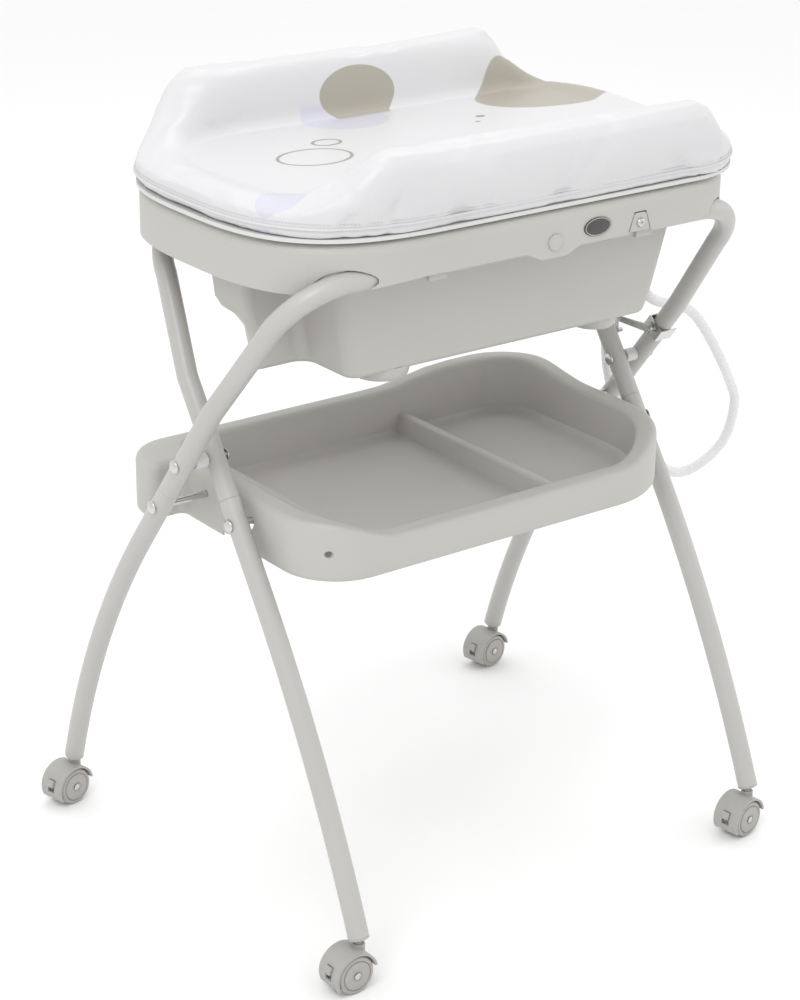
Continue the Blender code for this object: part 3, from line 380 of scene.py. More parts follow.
# ---- shader helpers ----------------------------------------------------------------------------
# The frame brings plain materials named after the slots, so a finish has a name of its own.
FINISH_NAME = "{}_finish"


class Field:
    """A number that varies over a surface; arithmetic on it adds Math nodes."""

    def __init__(self, graph, socket):
        self.graph = graph
        self.socket = socket

    def __add__(self, other):
        return self.graph.math("ADD", self, other)

    __radd__ = __add__

    def __sub__(self, other):
        return self.graph.math("SUBTRACT", self, other)

    def __rsub__(self, other):
        return self.graph.math("SUBTRACT", other, self)

    def __mul__(self, other):
        return self.graph.math("MULTIPLY", self, other)

    __rmul__ = __mul__

    def __truediv__(self, other):
        return self.graph.math("DIVIDE", self, other)

    def __rtruediv__(self, other):
        return self.graph.math("DIVIDE", other, self)

    def __pow__(self, other):
        return self.graph.math("POWER", self, other)

    def size(self):
        return self.graph.math("ABSOLUTE", self, 0.0)

    def below(self, edge, blur):
        """1 where the field is under an edge, falling to 0 over a blur."""
        return self.graph.node("ShaderNodeMapRange", {"interpolation_type": "SMOOTHSTEP"},
                               {"Value": self, "From Min": edge - blur, "From Max": edge + blur,
                                "To Min": 1.0, "To Max": 0.0}, "Result")

    def above(self, edge, blur):
        return 1.0 - self.below(edge, blur)


class Graph:
    """The node tree of one material, written as expressions."""

    def __init__(self, name):
        self.material = bpy.data.materials.new(FINISH_NAME.format(name))
        self.material.use_nodes = True
        self.tree = self.material.node_tree
        self.shader = self.tree.nodes["Principled BSDF"]
        self.coords = self.node("ShaderNodeTexCoord", {}, {}, "Object")

    def node(self, kind, settings, sockets, output=0):
        """Add a node with its settings and sockets, and give one of its outputs."""
        made = self.tree.nodes.new(kind)
        for key, value in settings.items():
            setattr(made, key, value)
        for key, value in sockets.items():
            if isinstance(value, Field):
                self.tree.links.new(value.socket, made.inputs[key])
            else:
                made.inputs[key].default_value = value
        return Field(self, made.outputs[output])

    def math(self, operation, first, second):
        return self.node("ShaderNodeMath", {"operation": operation}, {0: first, 1: second})

    def mix(self, share, first, second):
        """A colour between two, by a share."""
        colours = {6: first, 7: second}
        colours = {k: (*c, 1.0) if isinstance(c, tuple) else c for k, c in colours.items()}
        return self.node("ShaderNodeMix", {"data_type": "RGBA"}, {0: share, **colours}, 2)

    def noise(self, scale, detail=3.0, roughness=0.5, coords=None):
        return self.node("ShaderNodeTexNoise", {}, {"Vector": coords or self.coords, "Scale": scale,
                                                   "Detail": detail, "Roughness": roughness})

    def stretched(self, scales):
        """Object coordinates stretched along each axis."""
        return self.node("ShaderNodeMapping", {}, {"Vector": self.coords, "Scale": scales})

    def axes(self):
        """The three object coordinates, before the whole is centred."""
        parts = self.node("ShaderNodeSeparateXYZ", {}, {"Vector": self.coords}).socket.node.outputs
        return [Field(self, parts[i]) - CENTRE[i] for i in range(3)]

    def oval(self, across, along, centre, radii, blur=0.02):
        """1 inside an oval in two coordinates, 0 outside."""
        first = ((across - centre[0]) / radii[0]) ** 2.0
        second = ((along - centre[1]) / radii[1]) ** 2.0
        return (first + second).below(1.0, blur)

    def finish(self, colour, roughness, height=None, strength=0.3, distance=0.0003, **constants):
        """Wire the surface's colour, roughness and bump, and set what is the same all over."""
        for key, value in (("Base Color", colour), ("Roughness", roughness)):
            if isinstance(value, Field):
                self.tree.links.new(value.socket, self.shader.inputs[key])
            else:
                self.shader.inputs[key].default_value = value
        if height is not None:
            bump = self.node("ShaderNodeBump", {}, {"Height": height, "Strength": strength,
                                                    "Distance": distance})
            self.tree.links.new(bump.socket, self.shader.inputs["Normal"])
        for key, value in constants.items():
            self.shader.inputs[key.replace("_", " ").title()].default_value = value
        return self.material


# ---- finishes ----------------------------------------------------------------------------------
def shade(colour, by):
    """A colour made darker or lighter by a factor."""
    return tuple(min(c * by, 1.0) for c in colour)


def painted_steel(colours):
    """Satin powder coat: fine orange peel, slight tone drift and a few rubbed spots."""
    graph = Graph("painted_steel")
    drift = graph.noise(9.0, 4.0)
    rub = graph.noise(55.0, 6.0, 0.65).above(0.70, 0.05)
    tone = graph.mix(drift, shade(colours.paint, 0.95), shade(colours.paint, 1.05))
    colour = graph.mix(rub * 0.25, tone, shade(colours.paint, 1.18))
    peel = graph.noise(420.0, 2.0) + graph.noise(1500.0, 1.0) * 0.4
    return graph.finish(colour, 0.30 + graph.noise(70.0) * 0.12, peel, 0.12, 0.0002, coat_weight=0.15,
                        coat_roughness=0.25)


def shell_plastic(colours):
    """Satin moulded plastic: spark-eroded grain, flow marks and rougher scuffs."""
    graph = Graph("shell_plastic")
    flow = graph.noise(5.0, 3.0, 0.5, graph.stretched((1.0, 1.0, 3.0)))
    tone = graph.mix(flow, shade(colours.shell, 0.96), shade(colours.shell, 1.04))
    grain = graph.noise(1300.0, 2.0) + graph.noise(380.0, 2.0) * 0.5
    scuff = graph.noise(120.0, 5.0, 0.7, graph.stretched((0.3, 1.0, 1.0))).above(0.72, 0.06)
    return graph.finish(tone, 0.40 + grain * 0.05 + scuff * 0.10, grain, 0.16, 0.00015)


def caster_plastic(colours):
    """Harder, slightly darker plastic with fine turning marks, darker and rougher in noisy patches near the ground."""
    graph = Graph("caster_plastic")
    _, _, z = graph.axes()
    # Noisy patches in the lowest couple of centimetres are darkened and roughened: darker towards the bottom.
    near_floor_patches = z.below(0.012, 0.012) * graph.noise(160.0, 4.0)
    tone = graph.mix(graph.noise(40.0), shade(colours.caster, 0.94), shade(colours.caster, 1.05))
    colour = graph.mix(near_floor_patches * 0.5, tone, shade(colours.caster, 0.72))
    grain = graph.noise(900.0, 2.0)
    return graph.finish(colour, 0.42 + near_floor_patches * 0.25, grain, 0.12, 0.00015)


def zinc_steel(colours):
    """Bright zinc plate: brushed streaks, cloudy passivation and small pits."""
    graph = Graph("zinc_steel")
    streak = graph.noise(600.0, 3.0, 0.6, graph.stretched((0.15, 1.0, 1.0)))
    cloud = graph.noise(110.0, 4.0)
    colour = graph.mix(cloud, shade(colours.zinc, 0.88), shade(colours.zinc, 1.10))
    pits = graph.noise(1400.0, 2.0).above(0.66, 0.05)
    return graph.finish(colour, 0.18 + streak * 0.16 + pits * 0.2, streak - pits * 0.6, 0.10, 0.0001,
                        metallic=1.0)


def pad_vinyl(colours):
    """Coated cloth: fine leather-like grain, soft creases, and plain printed ovals and rings."""
    graph = Graph("pad_vinyl")
    x, y, z = graph.axes()
    lying = z.below(0.905, 0.006)
    far_wing = y.above(0.145, 0.006) * y.below(0.200, 0.002)
    upper_face = z.above(PAD_FLOOR - 0.006, 0.001) * y.below(0.200, 0.002)
    cool = graph.oval(x, y, (-0.025, 0.142), (0.056, 0.052)) * lying
    cool_low = graph.oval(x, y, (-0.290, -0.122), (0.036, 0.026)) * lying
    warm_wing = graph.oval(x, z, (0.009, 0.912), (0.056, 0.033)) * far_wing
    warm_floor = graph.oval(x, y, (0.262, 0.110), (0.100, 0.062))
    ring = graph.oval(x, y, (-0.160, 0.010), (0.048, 0.036)) - graph.oval(x, y, (-0.160, 0.010), (0.044, 0.032))
    small_ring = graph.oval(x, y, (-0.110, 0.058), (0.020, 0.015)) - graph.oval(x, y, (-0.110, 0.058),
                                                                                (0.016, 0.011))
    dots = graph.oval(x, y, (0.120, 0.060), (0.007, 0.005)) + graph.oval(x, y, (0.100, 0.040), (0.004, 0.003))
    tone = graph.mix(graph.noise(7.0), shade(colours.vinyl, 0.985), shade(colours.vinyl, 1.01))
    tone = graph.mix((cool + cool_low) * 0.85, tone, tuple(colours.print_cool))
    tone = graph.mix(warm_wing + warm_floor * upper_face, tone, tuple(colours.print_warm))
    tone = graph.mix((ring + small_ring + dots) * lying, tone, shade(colours.print_warm, 0.8))
    cells = graph.node("ShaderNodeTexVoronoi", {"feature": "DISTANCE_TO_EDGE"},
                       {"Vector": graph.coords, "Scale": 620.0}, "Distance")
    crease = graph.noise(26.0, 5.0, 0.55, graph.stretched((0.7, 1.3, 1.0)))
    height = cells.below(0.12, 0.12) * -0.25 + crease * 1.6
    return graph.finish(tone, 0.34 + graph.noise(180.0) * 0.10, height, 0.16, 0.0006, coat_weight=0.12,
                        coat_roughness=0.30)


def pad_piping(colours):
    """The pad's welt: the same coated cloth pulled tight over a cord."""
    graph = Graph("pad_piping")
    twist = graph.noise(240.0, 3.0, 0.6)
    tone = graph.mix(twist, shade(colours.vinyl, 0.93), shade(colours.vinyl, 1.0))
    return graph.finish(tone, 0.36 + twist * 0.10, twist, 0.20, 0.0003)


def seam_thread(colours):
    """Plied sewing thread."""
    graph = Graph("seam_thread")
    ply = graph.noise(2200.0, 2.0)
    return graph.finish(graph.mix(ply, shade(colours.vinyl, 0.78), shade(colours.vinyl, 0.92)), 0.6, ply,
                        0.3, 0.0001)


def board_plastic(colours):
    """Pale extruded sheet with fine lines along its length."""
    graph = Graph("board_plastic")
    lines = graph.noise(260.0, 3.0, 0.5, graph.stretched((0.05, 1.0, 1.0)))
    colour = graph.mix(lines, shade(colours.board, 0.94), shade(colours.board, 1.03))
    return graph.finish(colour, 0.44 + lines * 0.08, lines, 0.10, 0.0002)


def hose_plastic(colours):
    """Cloudy flexible hose with a faint drawn grain."""
    graph = Graph("hose_plastic")
    cloud = graph.noise(60.0, 4.0)
    fine = graph.noise(900.0, 2.0)
    colour = graph.mix(cloud, shade(colours.hose, 0.95), shade(colours.hose, 1.05))
    return graph.finish(colour, 0.22 + fine * 0.10, fine + cloud, 0.10, 0.0002, transmission_weight=0.18,
                        subsurface_weight=0.15)


def badge_plastic(colours):
    """Dark plain oval with a pale border line."""
    graph = Graph("badge_plastic")
    x, _, z = graph.axes()
    place = (BADGE_X, RIM_LOW + 0.0165)
    border = graph.oval(x, z, place, (0.0186, 0.0102)) - graph.oval(x, z, place, (0.0178, 0.0094))
    grain = graph.noise(1500.0, 2.0)
    colour = graph.mix(border, tuple(colours.badge), shade(colours.shell, 1.05))
    return graph.finish(colour, 0.30 + grain * 0.08, grain, 0.08, 0.0001)


def studio_floor(colours):
    """Seamless pale floor paper."""
    graph = Graph("studio_floor")
    fibre = graph.noise(300.0, 3.0)
    colour = graph.mix(graph.noise(1.2), shade(colours.floor, 0.985), shade(colours.floor, 1.0))
    return graph.finish(colour, 0.82 + fibre * 0.06, fibre, 0.04, 0.0003)


FINISHES = {make.__name__: make for make in (
    painted_steel, shell_plastic, caster_plastic, zinc_steel, pad_vinyl, pad_piping, seam_thread,
    board_plastic, hose_plastic, badge_plastic, studio_floor)}


def material(look):
    """The finish of that name, made the first time it is asked for."""
    made = bpy.data.materials.get(FINISH_NAME.format(look))
    return made or FINISHES[look](bpy.context.scene.table_colours)


# ---- geometry node trees -----------------------------------------------------------------------
def start_tree(name, inputs):
    """A geometry tree with a geometry socket each way and the named inputs."""
    tree = bpy.data.node_groups.new(name, "GeometryNodeTree")
    tree.interface.new_socket("Geometry", in_out="INPUT", socket_type="NodeSocketGeometry")
    for label, kind in inputs:
        tree.interface.new_socket(label, in_out="INPUT", socket_type="NodeSocket" + kind)
    tree.interface.new_socket("Geometry", in_out="OUTPUT", socket_type="NodeSocketGeometry")
    return tree


def tree_node(tree, kind, settings=(), **sockets):
    """Add a node to a tree; a socket value that is an output is linked."""
    made = tree.nodes.new(kind)
    for key, value in dict(settings).items():
        setattr(made, key, value)
    for key, value in sockets.items():
        socket = made.inputs[key.replace("_", " ")]
        if isinstance(value, bpy.types.NodeSocket):
            tree.links.new(value, socket)
        else:
            socket.default_value = value
    return made


def end_tree(tree, geometry, given):
    """Realise instances, shade smooth, set the material and end the tree."""
    real = tree_node(tree, "GeometryNodeRealizeInstances", Geometry=geometry)
    smooth = tree_node(tree, "GeometryNodeSetShadeSmooth", Geometry=real.outputs[0])
    done = tree_node(tree, "GeometryNodeSetMaterial", Geometry=smooth.outputs[0],
                     Material=given.outputs["Material"])
    tree_node(tree, "NodeGroupOutput", Geometry=done.outputs[0])
    return tree


def bent_tube_tree():
    """A round bar swept along a line of points."""
    tree = start_tree("Bent Tube", [("Radius", "Float"), ("Sides", "Int"), ("Material", "Material")])
    given = tree_node(tree, "NodeGroupInput")
    line = tree_node(tree, "GeometryNodeMeshToCurve", Mesh=given.outputs["Geometry"])
    ring = tree_node(tree, "GeometryNodeCurvePrimitiveCircle", Resolution=given.outputs["Sides"],
                     Radius=given.outputs["Radius"])
    swept = tree_node(tree, "GeometryNodeCurveToMesh", Curve=line.outputs[0], Profile_Curve=ring.outputs[0],
                      Fill_Caps=True)
    return end_tree(tree, swept.outputs[0], given)


def stitch_tree():
    """Short threads laid one after another along a line of points."""
    tree = start_tree("Stitches", [("Spacing", "Float"), ("Length", "Float"), ("Radius", "Float"),
                                   ("Material", "Material")])
    given = tree_node(tree, "NodeGroupInput")
    line = tree_node(tree, "GeometryNodeMeshToCurve", Mesh=given.outputs["Geometry"])
    places = tree_node(tree, "GeometryNodeCurveToPoints", {"mode": "LENGTH"}, Curve=line.outputs[0],
                       Length=given.outputs["Spacing"])
    thread = tree_node(tree, "GeometryNodeMeshCylinder", Vertices=6, Radius=given.outputs["Radius"],
                       Depth=given.outputs["Length"])
    laid = tree_node(tree, "GeometryNodeInstanceOnPoints", Points=places.outputs["Points"],
                     Instance=thread.outputs["Mesh"], Rotation=places.outputs["Rotation"])
    return end_tree(tree, laid.outputs[0], given)


def grow(tree_maker, points, closed=False, **values):
    """Run a geometry tree on a line of points and give the plain mesh."""
    name = tree_maker.__name__
    tree = bpy.data.node_groups.get(GROWN.get(name, "")) or tree_maker()
    GROWN[name] = tree.name
    line = bpy.data.meshes.new("line")
    edges = [(i, i + 1) for i in range(len(points) - 1)] + ([(len(points) - 1, 0)] if closed else [])
    line.from_pydata([tuple(p) for p in points], edges, [])
    obj = bpy.data.objects.new("line", line)
    bpy.context.scene.collection.objects.link(obj)
    step = obj.modifiers.new("grow", "NODES")
    step.node_group = tree
    for item in tree.interface.items_tree:
        if item.in_out == "INPUT" and item.name in values:
            step[item.identifier] = values[item.name]
    result = baked(obj, [obj])
    face_out(result)
    return result


GROWN = {}


# ---- paths -------------------------------------------------------------------------------------
def upper_path(half_width, side, lean):
    """Centre line of an upper tube: up one arm, round two bends and down the other."""
    top = (BAR_Z - PIVOT_Z) / math.cos(lean)
    up = Vector((0, side * math.sin(lean), math.cos(lean)))
    foot = Vector((0, 0, PIVOT_Z))
    inner_x = half_width - BAR_TAPER - BAR_BEND
    half = [Vector((half_width, 0, 0)) + foot + up * v for v in (-SEAM_DROP, 0.0, 0.10)]
    for degrees in range(0, 91, 5):
        a = math.radians(degrees)
        across = inner_x + BAR_BEND * math.cos(a)
        along = top - BAR_BEND + BAR_BEND * math.sin(a)
        half.append(Vector((across, 0, 0)) + foot + up * along)
    return half + [Vector((-p.x, p.y, p.z)) for p in reversed(half)]


def leg_path(x, side, lean, steps=28):
    """Centre line of a lower leg: straight, then one arc down to the foot; and its lean at the foot."""
    down = Vector((0, side * math.sin(lean), -math.cos(lean)))
    start = Vector((x, 0, PIVOT_Z)) + down * LEG_STRAIGHT
    foot = Vector((x, side * FOOT_Y, FOOT_Z))
    chord = foot - start
    turn = 2 * (lean - math.atan2(abs(chord.y), -chord.z))
    radius = chord.length / (2 * math.sin(turn / 2))
    path = [Vector((x, 0, PIVOT_Z)) + down * (SEAM_DROP + GAP + d) for d in (0.0, 0.035)]
    for k in range(steps + 1):
        a = lean - turn * k / steps
        across = radius * (math.cos(a) - math.cos(lean))
        drop = radius * (math.sin(lean) - math.sin(a))
        path.append(start + Vector((0, side * across, -drop)))
    last = path[-1] - path[-2]
    return path, math.atan2(abs(last.y), -last.z)


def smooth_route(route, spacing):
    """Points about `spacing` apart along a Catmull-Rom curve through the route."""
    route = [Vector(p) for p in route]
    points = []
    for i in range(len(route) - 1):
        a = route[max(i - 1, 0)]
        b = route[i]
        c = route[i + 1]
        d = route[min(i + 2, len(route) - 1)]
        steps = max(round((c - b).length / spacing), 1)
        for k in range(steps):
            t = k / steps
            points.append(0.5 * (2 * b + (c - a) * t + (2 * a - 5 * b + 4 * c - d) * t * t
                                 + (3 * b - a - 3 * c + d) * t ** 3))
    return points + [route[-1]]


def bolt_y(side, lean):
    """Where a tray bolt crosses a leg at the bolt height."""
    return side * (PIVOT_Z - TRAY_BOLT_Z) * math.tan(lean)


def bar_y(side, lean):
    """Where an upper tube's cross bar lies."""
    return side * (BAR_Z - PIVOT_Z) * math.tan(lean)


# ---- stage -------------------------------------------------------------------------------------
def add_light(name, place, target, size, power, colour=(1.0, 1.0, 1.0)):
    """A square soft light aimed at a point."""
    data = bpy.data.lights.new(name, "AREA")
    data.size = size
    data.energy = power
    data.color = colour
    light = bpy.data.objects.new(name, data)
    light.location = place
    light.rotation_euler = (Vector(target) - Vector(place)).to_track_quat("-Z", "Y").to_euler()
    bpy.context.scene.collection.objects.link(light)


def build_stage(sizes):
    """Floor, soft lights, pale surroundings and the camera."""
    half = 6.0
    floor = mesh_of([(-half, -half, 0), (half, -half, 0), (half, half, 0), (-half, half, 0)], [(0, 1, 2, 3)])
    floor.materials.append(material("studio_floor"))
    ground = bpy.data.objects.new("studio_floor", floor)
    bpy.context.scene.collection.objects.link(ground)
    world = bpy.data.worlds.new("studio")
    world.use_nodes = True
    background = world.node_tree.nodes["Background"]
    background.inputs["Color"].default_value = (1.0, 1.0, 1.0, 1.0)
    background.inputs["Strength"].default_value = sizes.surround
    bpy.context.scene.world = world
    # Plain colour output: the default transform greys a white floor and flattens the pale plastics on it.
    bpy.context.scene.view_settings.view_transform = "Standard"
    middle = (0.0, 0.0, 0.5)
    add_light("key", (-1.9, -1.3, 3.0), middle, 1.6, sizes.key_power)
    add_light("top", (0.6, 0.6, 3.4), middle, 2.4, sizes.key_power * 0.7)
    add_light("side", (2.8, -1.2, 1.4), middle, 1.8, sizes.key_power * 0.25)
    add_camera()


def add_camera():
    """The camera, placed and aimed by its angles."""
    data = bpy.data.cameras.new("camera")
    data.sensor_fit = "VERTICAL"
    data.sensor_height = SENSOR_HEIGHT
    data.lens = FOCAL_SHARE * SENSOR_HEIGHT
    back = Vector((math.sin(AZIMUTH) * math.cos(ELEVATION), -math.cos(AZIMUTH) * math.cos(ELEVATION),
                   math.sin(ELEVATION)))
    right = (-back).cross(Vector((0, 0, 1))).normalized()
    up = right.cross(-back)
    right, up = (math.cos(ROLL) * right + math.sin(ROLL) * up, math.cos(ROLL) * up - math.sin(ROLL) * right)
    camera = bpy.data.objects.new("camera", data)
    turn = Matrix((right, up, back)).transposed().to_4x4()
    camera.matrix_world = Matrix.Translation(EYE) @ turn
    bpy.context.scene.collection.objects.link(camera)
    bpy.context.scene.camera = camera


# ---- drain -------------------------------------------------------------------------------------
def build_drain(sizes):
    """Drain hose as one open curve, with its spigot, the bath plug and the cup for its free end."""
    points = smooth_route(HOSE_ROUTE, sizes.hose_diameter * 0.6)
    curve = bpy.data.curves.new("hose", "CURVE")
    curve.dimensions = "3D"
    curve.bevel_depth = sizes.hose_diameter / 2
    curve.bevel_resolution = 8
    curve.use_fill_caps = True
    spline = curve.splines.new("POLY")
    spline.points.add(len(points) - 1)
    for point, place in zip(spline.points, points):
        point.co = (*(place + CENTRE), 1.0)
    curve.materials.append(material("hose_plastic"))
    hose = bpy.data.objects.new("hose", curve)
    bpy.context.scene.collection.objects.link(hose)
    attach(hose, "bath")
    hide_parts("drain_hose")
    length = sum((q - p).length for p, q in zip(points, points[1:]))
    points[0] + CENTRE
    build_spigot()


def build_spigot():
    floor = BOWL_BOTTOM + BOWL_WALL + GAP
    here = (DRAIN_X, DRAIN_Y, 0)
    at = (DRAIN_X, DRAIN_Y, DRAIN_Z)
    stem = revolve([(0, DRAIN_Z), (DRAIN_R, DRAIN_Z), (DRAIN_R, floor), (0.016, floor), (0.0158, floor + 0.0012),
                    (0.0150, floor + 0.002), (0, floor + 0.002)], "Z", here)
    elbow = rod(DRAIN_R, -DRAIN_R, 0.030, "X", at, ROUND)
    tools = [rod(HOSE_R + GAP, 0.018, 0.040, "X", at, ROUND), rod(0.0045, 0.0, 0.020, "X", at),
             rod(0.0060, DRAIN_Z, floor + 0.01, "Z", here)]
    piece("spigot", cut(join(stem, elbow), *tools), "shell_plastic", "bath", ["drain_spigot"], 0.0006)
    top = floor + 0.002 + GAP
    stopper = [(0, top - 0.007), (0.0050, top - 0.007), (0.0057, top), (0.0100, top), (0.0099, top + 0.0022),
               (0.0090, top + 0.003), (0.0036, top + 0.0036), (0.003, top + 0.005), (0.003, top + 0.0075),
               (0, top + 0.008)]
    piece("stopper", revolve(stopper, "Z", here), "caster_plastic", "bath", ["drain_plug"])
    low = HOSE_ROUTE[-1][2] - 0.012
    high = RIM_TOP - RIM_EDGE - RIM_WALL
    cup = turned_profile([(HOSE_R + GAP, low, 0.0005), (HOLDER_R, low, 0.0012), (HOLDER_R, high, 0.0004),
                          (HOSE_R + GAP, high, 0.0004)])
    piece("hose_cup", revolve(cup, "Z", (HOLDER_X, HOLDER_Y, 0)), "shell_plastic", "bath", ["hose_holder"])


# ---- frame -------------------------------------------------------------------------------------
def bent_tube(path, closed=False, radius=TUBE_R, sides=TUBE_SIDES, look="painted_steel"):
    return grow(bent_tube_tree, path, closed, Radius=radius, Sides=sides, Material=material(look))


def bolt_mesh(low, high, y, z):
    """A bolt along X with a shallow dome and a small flat rim at each end."""
    dome = [(BOLT_HEAD_R * math.cos(a),
             DOME * math.sin(a)) for a in [math.radians(10 * k) for k in range(9)]]
    rim = 0.0006
    profile = [(0, low - DOME)] + [(r, low - rim - h * (1 - rim / DOME)) for r, h in reversed(dome)]
    profile += [(BOLT_HEAD_R, low), (BOLT_R, low), (BOLT_R, high), (BOLT_HEAD_R, high)]
    profile += [(r, high + rim + h * (1 - rim / DOME)) for r, h in dome] + [(0, high + DOME)]
    return revolve(profile, "X", (0, y, z), SMALL_ROUND)


def build_frames():
    """Both bent upper tubes, the four legs, and the bolts and spacers at the crossings."""
    piece("outer_tube", bent_tube(upper_path(OUTER_X, -1, OUTER_LEAN)), "painted_steel", "outer_assembly",
          ["outer_frame"])
    piece("inner_tube", bent_tube(upper_path(INNER_X, 1, INNER_LEAN)), "painted_steel", "inner_assembly",
          ["inner_frame"])
    for hand, sign in (("left", -1), ("right", 1)):
        for word, x, side, lean in (("outer", OUTER_X, 1, OUTER_LEAN), ("inner", INNER_X, -1, INNER_LEAN)):
            path, _ = leg_path(sign * x, side, lean)
            piece(f"{word}_lower_{hand}", bent_tube(path), "painted_steel", word + "_assembly",
                  [f"{word}_leg_{hand}"])
        outside = sign * (OUTER_X + TUBE_R + GAP)
        inside = sign * (INNER_X - TUBE_R - GAP)
        tip = sign * (TRAY_END_X - TRAY_WALL - 2 * GAP - 0.004)
        hook_outside = sign * (INNER_X + TUBE_R + GAP)
        far_y = bolt_y(1, OUTER_LEAN)
        near_y = bolt_y(-1, INNER_LEAN)
        piece(f"cross_bolt_{hand}", bolt_mesh(*sorted((outside, inside)), 0, PIVOT_Z), "zinc_steel",
              "outer_assembly", [f"pivot_bolt_{hand}"])
        piece(f"tray_bolt_{hand}", bolt_mesh(*sorted((outside, tip)), far_y, TRAY_BOLT_Z), "zinc_steel",
              "outer_assembly", [f"tray_hinge_bolt_{hand}"])
        piece(f"hook_bolt_{hand}", bolt_mesh(*sorted((hook_outside, tip)), near_y, TRAY_BOLT_Z),
              "zinc_steel",
              "inner_assembly", [f"tray_hook_bolt_{hand}"])
        low, high = sorted((sign * (OUTER_X - TUBE_R - GAP), sign * (INNER_X + TUBE_R + GAP)))
        ring = turned_profile([(BOLT_R + GAP, low, 0.0004), (0.0085, low, 0.0010), (0.0085, high, 0.0010),
                               (BOLT_R + GAP, high, 0.0004)])
        piece(f"spacer_{hand}", revolve(ring, "X", (0, 0, PIVOT_Z)), "board_plastic", "outer_assembly",
              [f"pivot_spacer_{hand}"])


# ---- casters -----------------------------------------------------------------------------------
def arc_points(radius, start, end, steps):
    """(x, z) points of an arc, angles in degrees from +X towards +Z."""
    turns = [math.radians(start + (end - start) * k / steps) for k in range(steps + 1)]
    return [(radius * math.cos(a), radius * math.sin(a)) for a in turns]


def shell_sector(inner, outer, start, end, half_width, steps):
    """A curved slab round the wheel axle, as a prism along Y."""
    outline = arc_points(outer, start, end, steps) + arc_points(inner, end, start, steps)
    return prism(outline, "Y", -half_width, half_width)


def hood_mesh():
    """The hood round the wheel centre: fender, web between the wheels, neck and stem."""
    inside = HOOD_R - HOOD_WALL
    steps = 40
    fender = shell_sector(inside, HOOD_R, HOOD_START, HOOD_END, HOOD_HALF_WIDTH, steps)
    stem_top = FOOT_Z + 0.008 - WHEEL_R
    neck_top = FOOT_Z - NECK_DROP - WHEEL_R
    neck = revolve([(0, 0.012), (NECK_R, 0.012), (NECK_R, neck_top - 0.0008), (NECK_R - 0.0008, neck_top),
                    (STEM_R, neck_top), (STEM_R, stem_top), (0, stem_top)], "Z", (CASTER_TRAIL, 0, 0),
                    SMALL_ROUND)
    neck = cut(neck, rod(inside + HOOD_WALL / 3, -0.03, 0.03, "Y", (0, 0, 0), ROUND))
    web_outline = arc_points(inside + 2 * GAP, HOOD_START, HOOD_END, steps) + [(-0.006, -0.008), (0.008, -0.006)]
    web_half = WHEEL_INNER_Y - 2 * GAP
    web = prism(web_outline, "Y", -web_half, web_half)
    window = shell_sector(HOOD_R - 2 * HOOD_WALL, HOOD_R + HOOD_WALL, BRAKE_START - 1.5,
                          BRAKE_END + BRAKE_TRAVEL + 3, BRAKE_HALF_WIDTH + 2 * GAP, 12)
    bore = rod(AXLE_R + GAP, -HOOD_HALF_WIDTH, HOOD_HALF_WIDTH, "Y", (0, 0, 0))
    return cut(join(fender, neck, web), window, bore)


def wheel_mesh(side):
    """One of the twin wheels: rounded tread, a ring groove and a raised hub on its outer face."""
    bore = AXLE_R + GAP
    rim = WHEEL_OUTER_Y - 0.0006
    corners = [(bore, WHEEL_INNER_Y, 0.0002), (WHEEL_R, WHEEL_INNER_Y, 0.0014), (WHEEL_R, rim, 0.0034),
               (WHEEL_R - 0.0048, rim, 0.0004), (WHEEL_R - 0.0052, rim - 0.0012, 0.0002),
               (WHEEL_R - 0.0062, rim - 0.0012, 0.0002), (WHEEL_R - 0.0066, WHEEL_OUTER_Y, 0.0004),
               (0.0066, WHEEL_OUTER_Y, 0.0003), (0.0062, WHEEL_OUTER_Y - 0.0008, 0.0002),
               (bore, WHEEL_OUTER_Y - 0.0008, 0.0002)]
    return revolve([(r, side * h) for r, h in turned_profile(corners)], "Y", (0, 0, 0), ROUND)


def axle_mesh():
    """The axle with a riveted head at each end."""
    end = WHEEL_OUTER_Y + GAP
    head = AXLE_R + 0.0012
    half = [(AXLE_R, end), (head, end), (head, end + 0.0004), (head - 0.0006, end + 0.0009), (0.0016, end + 0.0012),
            (0.0012, end + 0.0008), (0, end + 0.0008)]
    return revolve([(r, -h) for r, h in reversed(half)] + half, "Y", (0, 0, 0), SMALL_ROUND)


def plug_mesh(x, side, lean):
    """The visible collar of the plastic plug in a leg's end."""
    path, end_lean = leg_path(x, side, lean)
    flange = [(0, -GAP), (TUBE_R - 0.0002, -GAP), (TUBE_R, -0.0006), (TUBE_R, -PLUG_FLANGE),
              (TUBE_R - 0.0008, -PLUG_FLANGE - 0.0009), (TUBE_R - 0.003, -PLUG_FLANGE - PLUG_EDGE),
              (0, -PLUG_FLANGE - PLUG_EDGE)]
    body = revolve(flange, "Z")
    body.transform(Matrix.Translation(path[-1]) @ Matrix.Rotation(side * end_lean, 4, "X"))
    return cut(body, rod(STEM_R + GAP, -0.02, 0.008 + GAP, "Z", path[-1]))


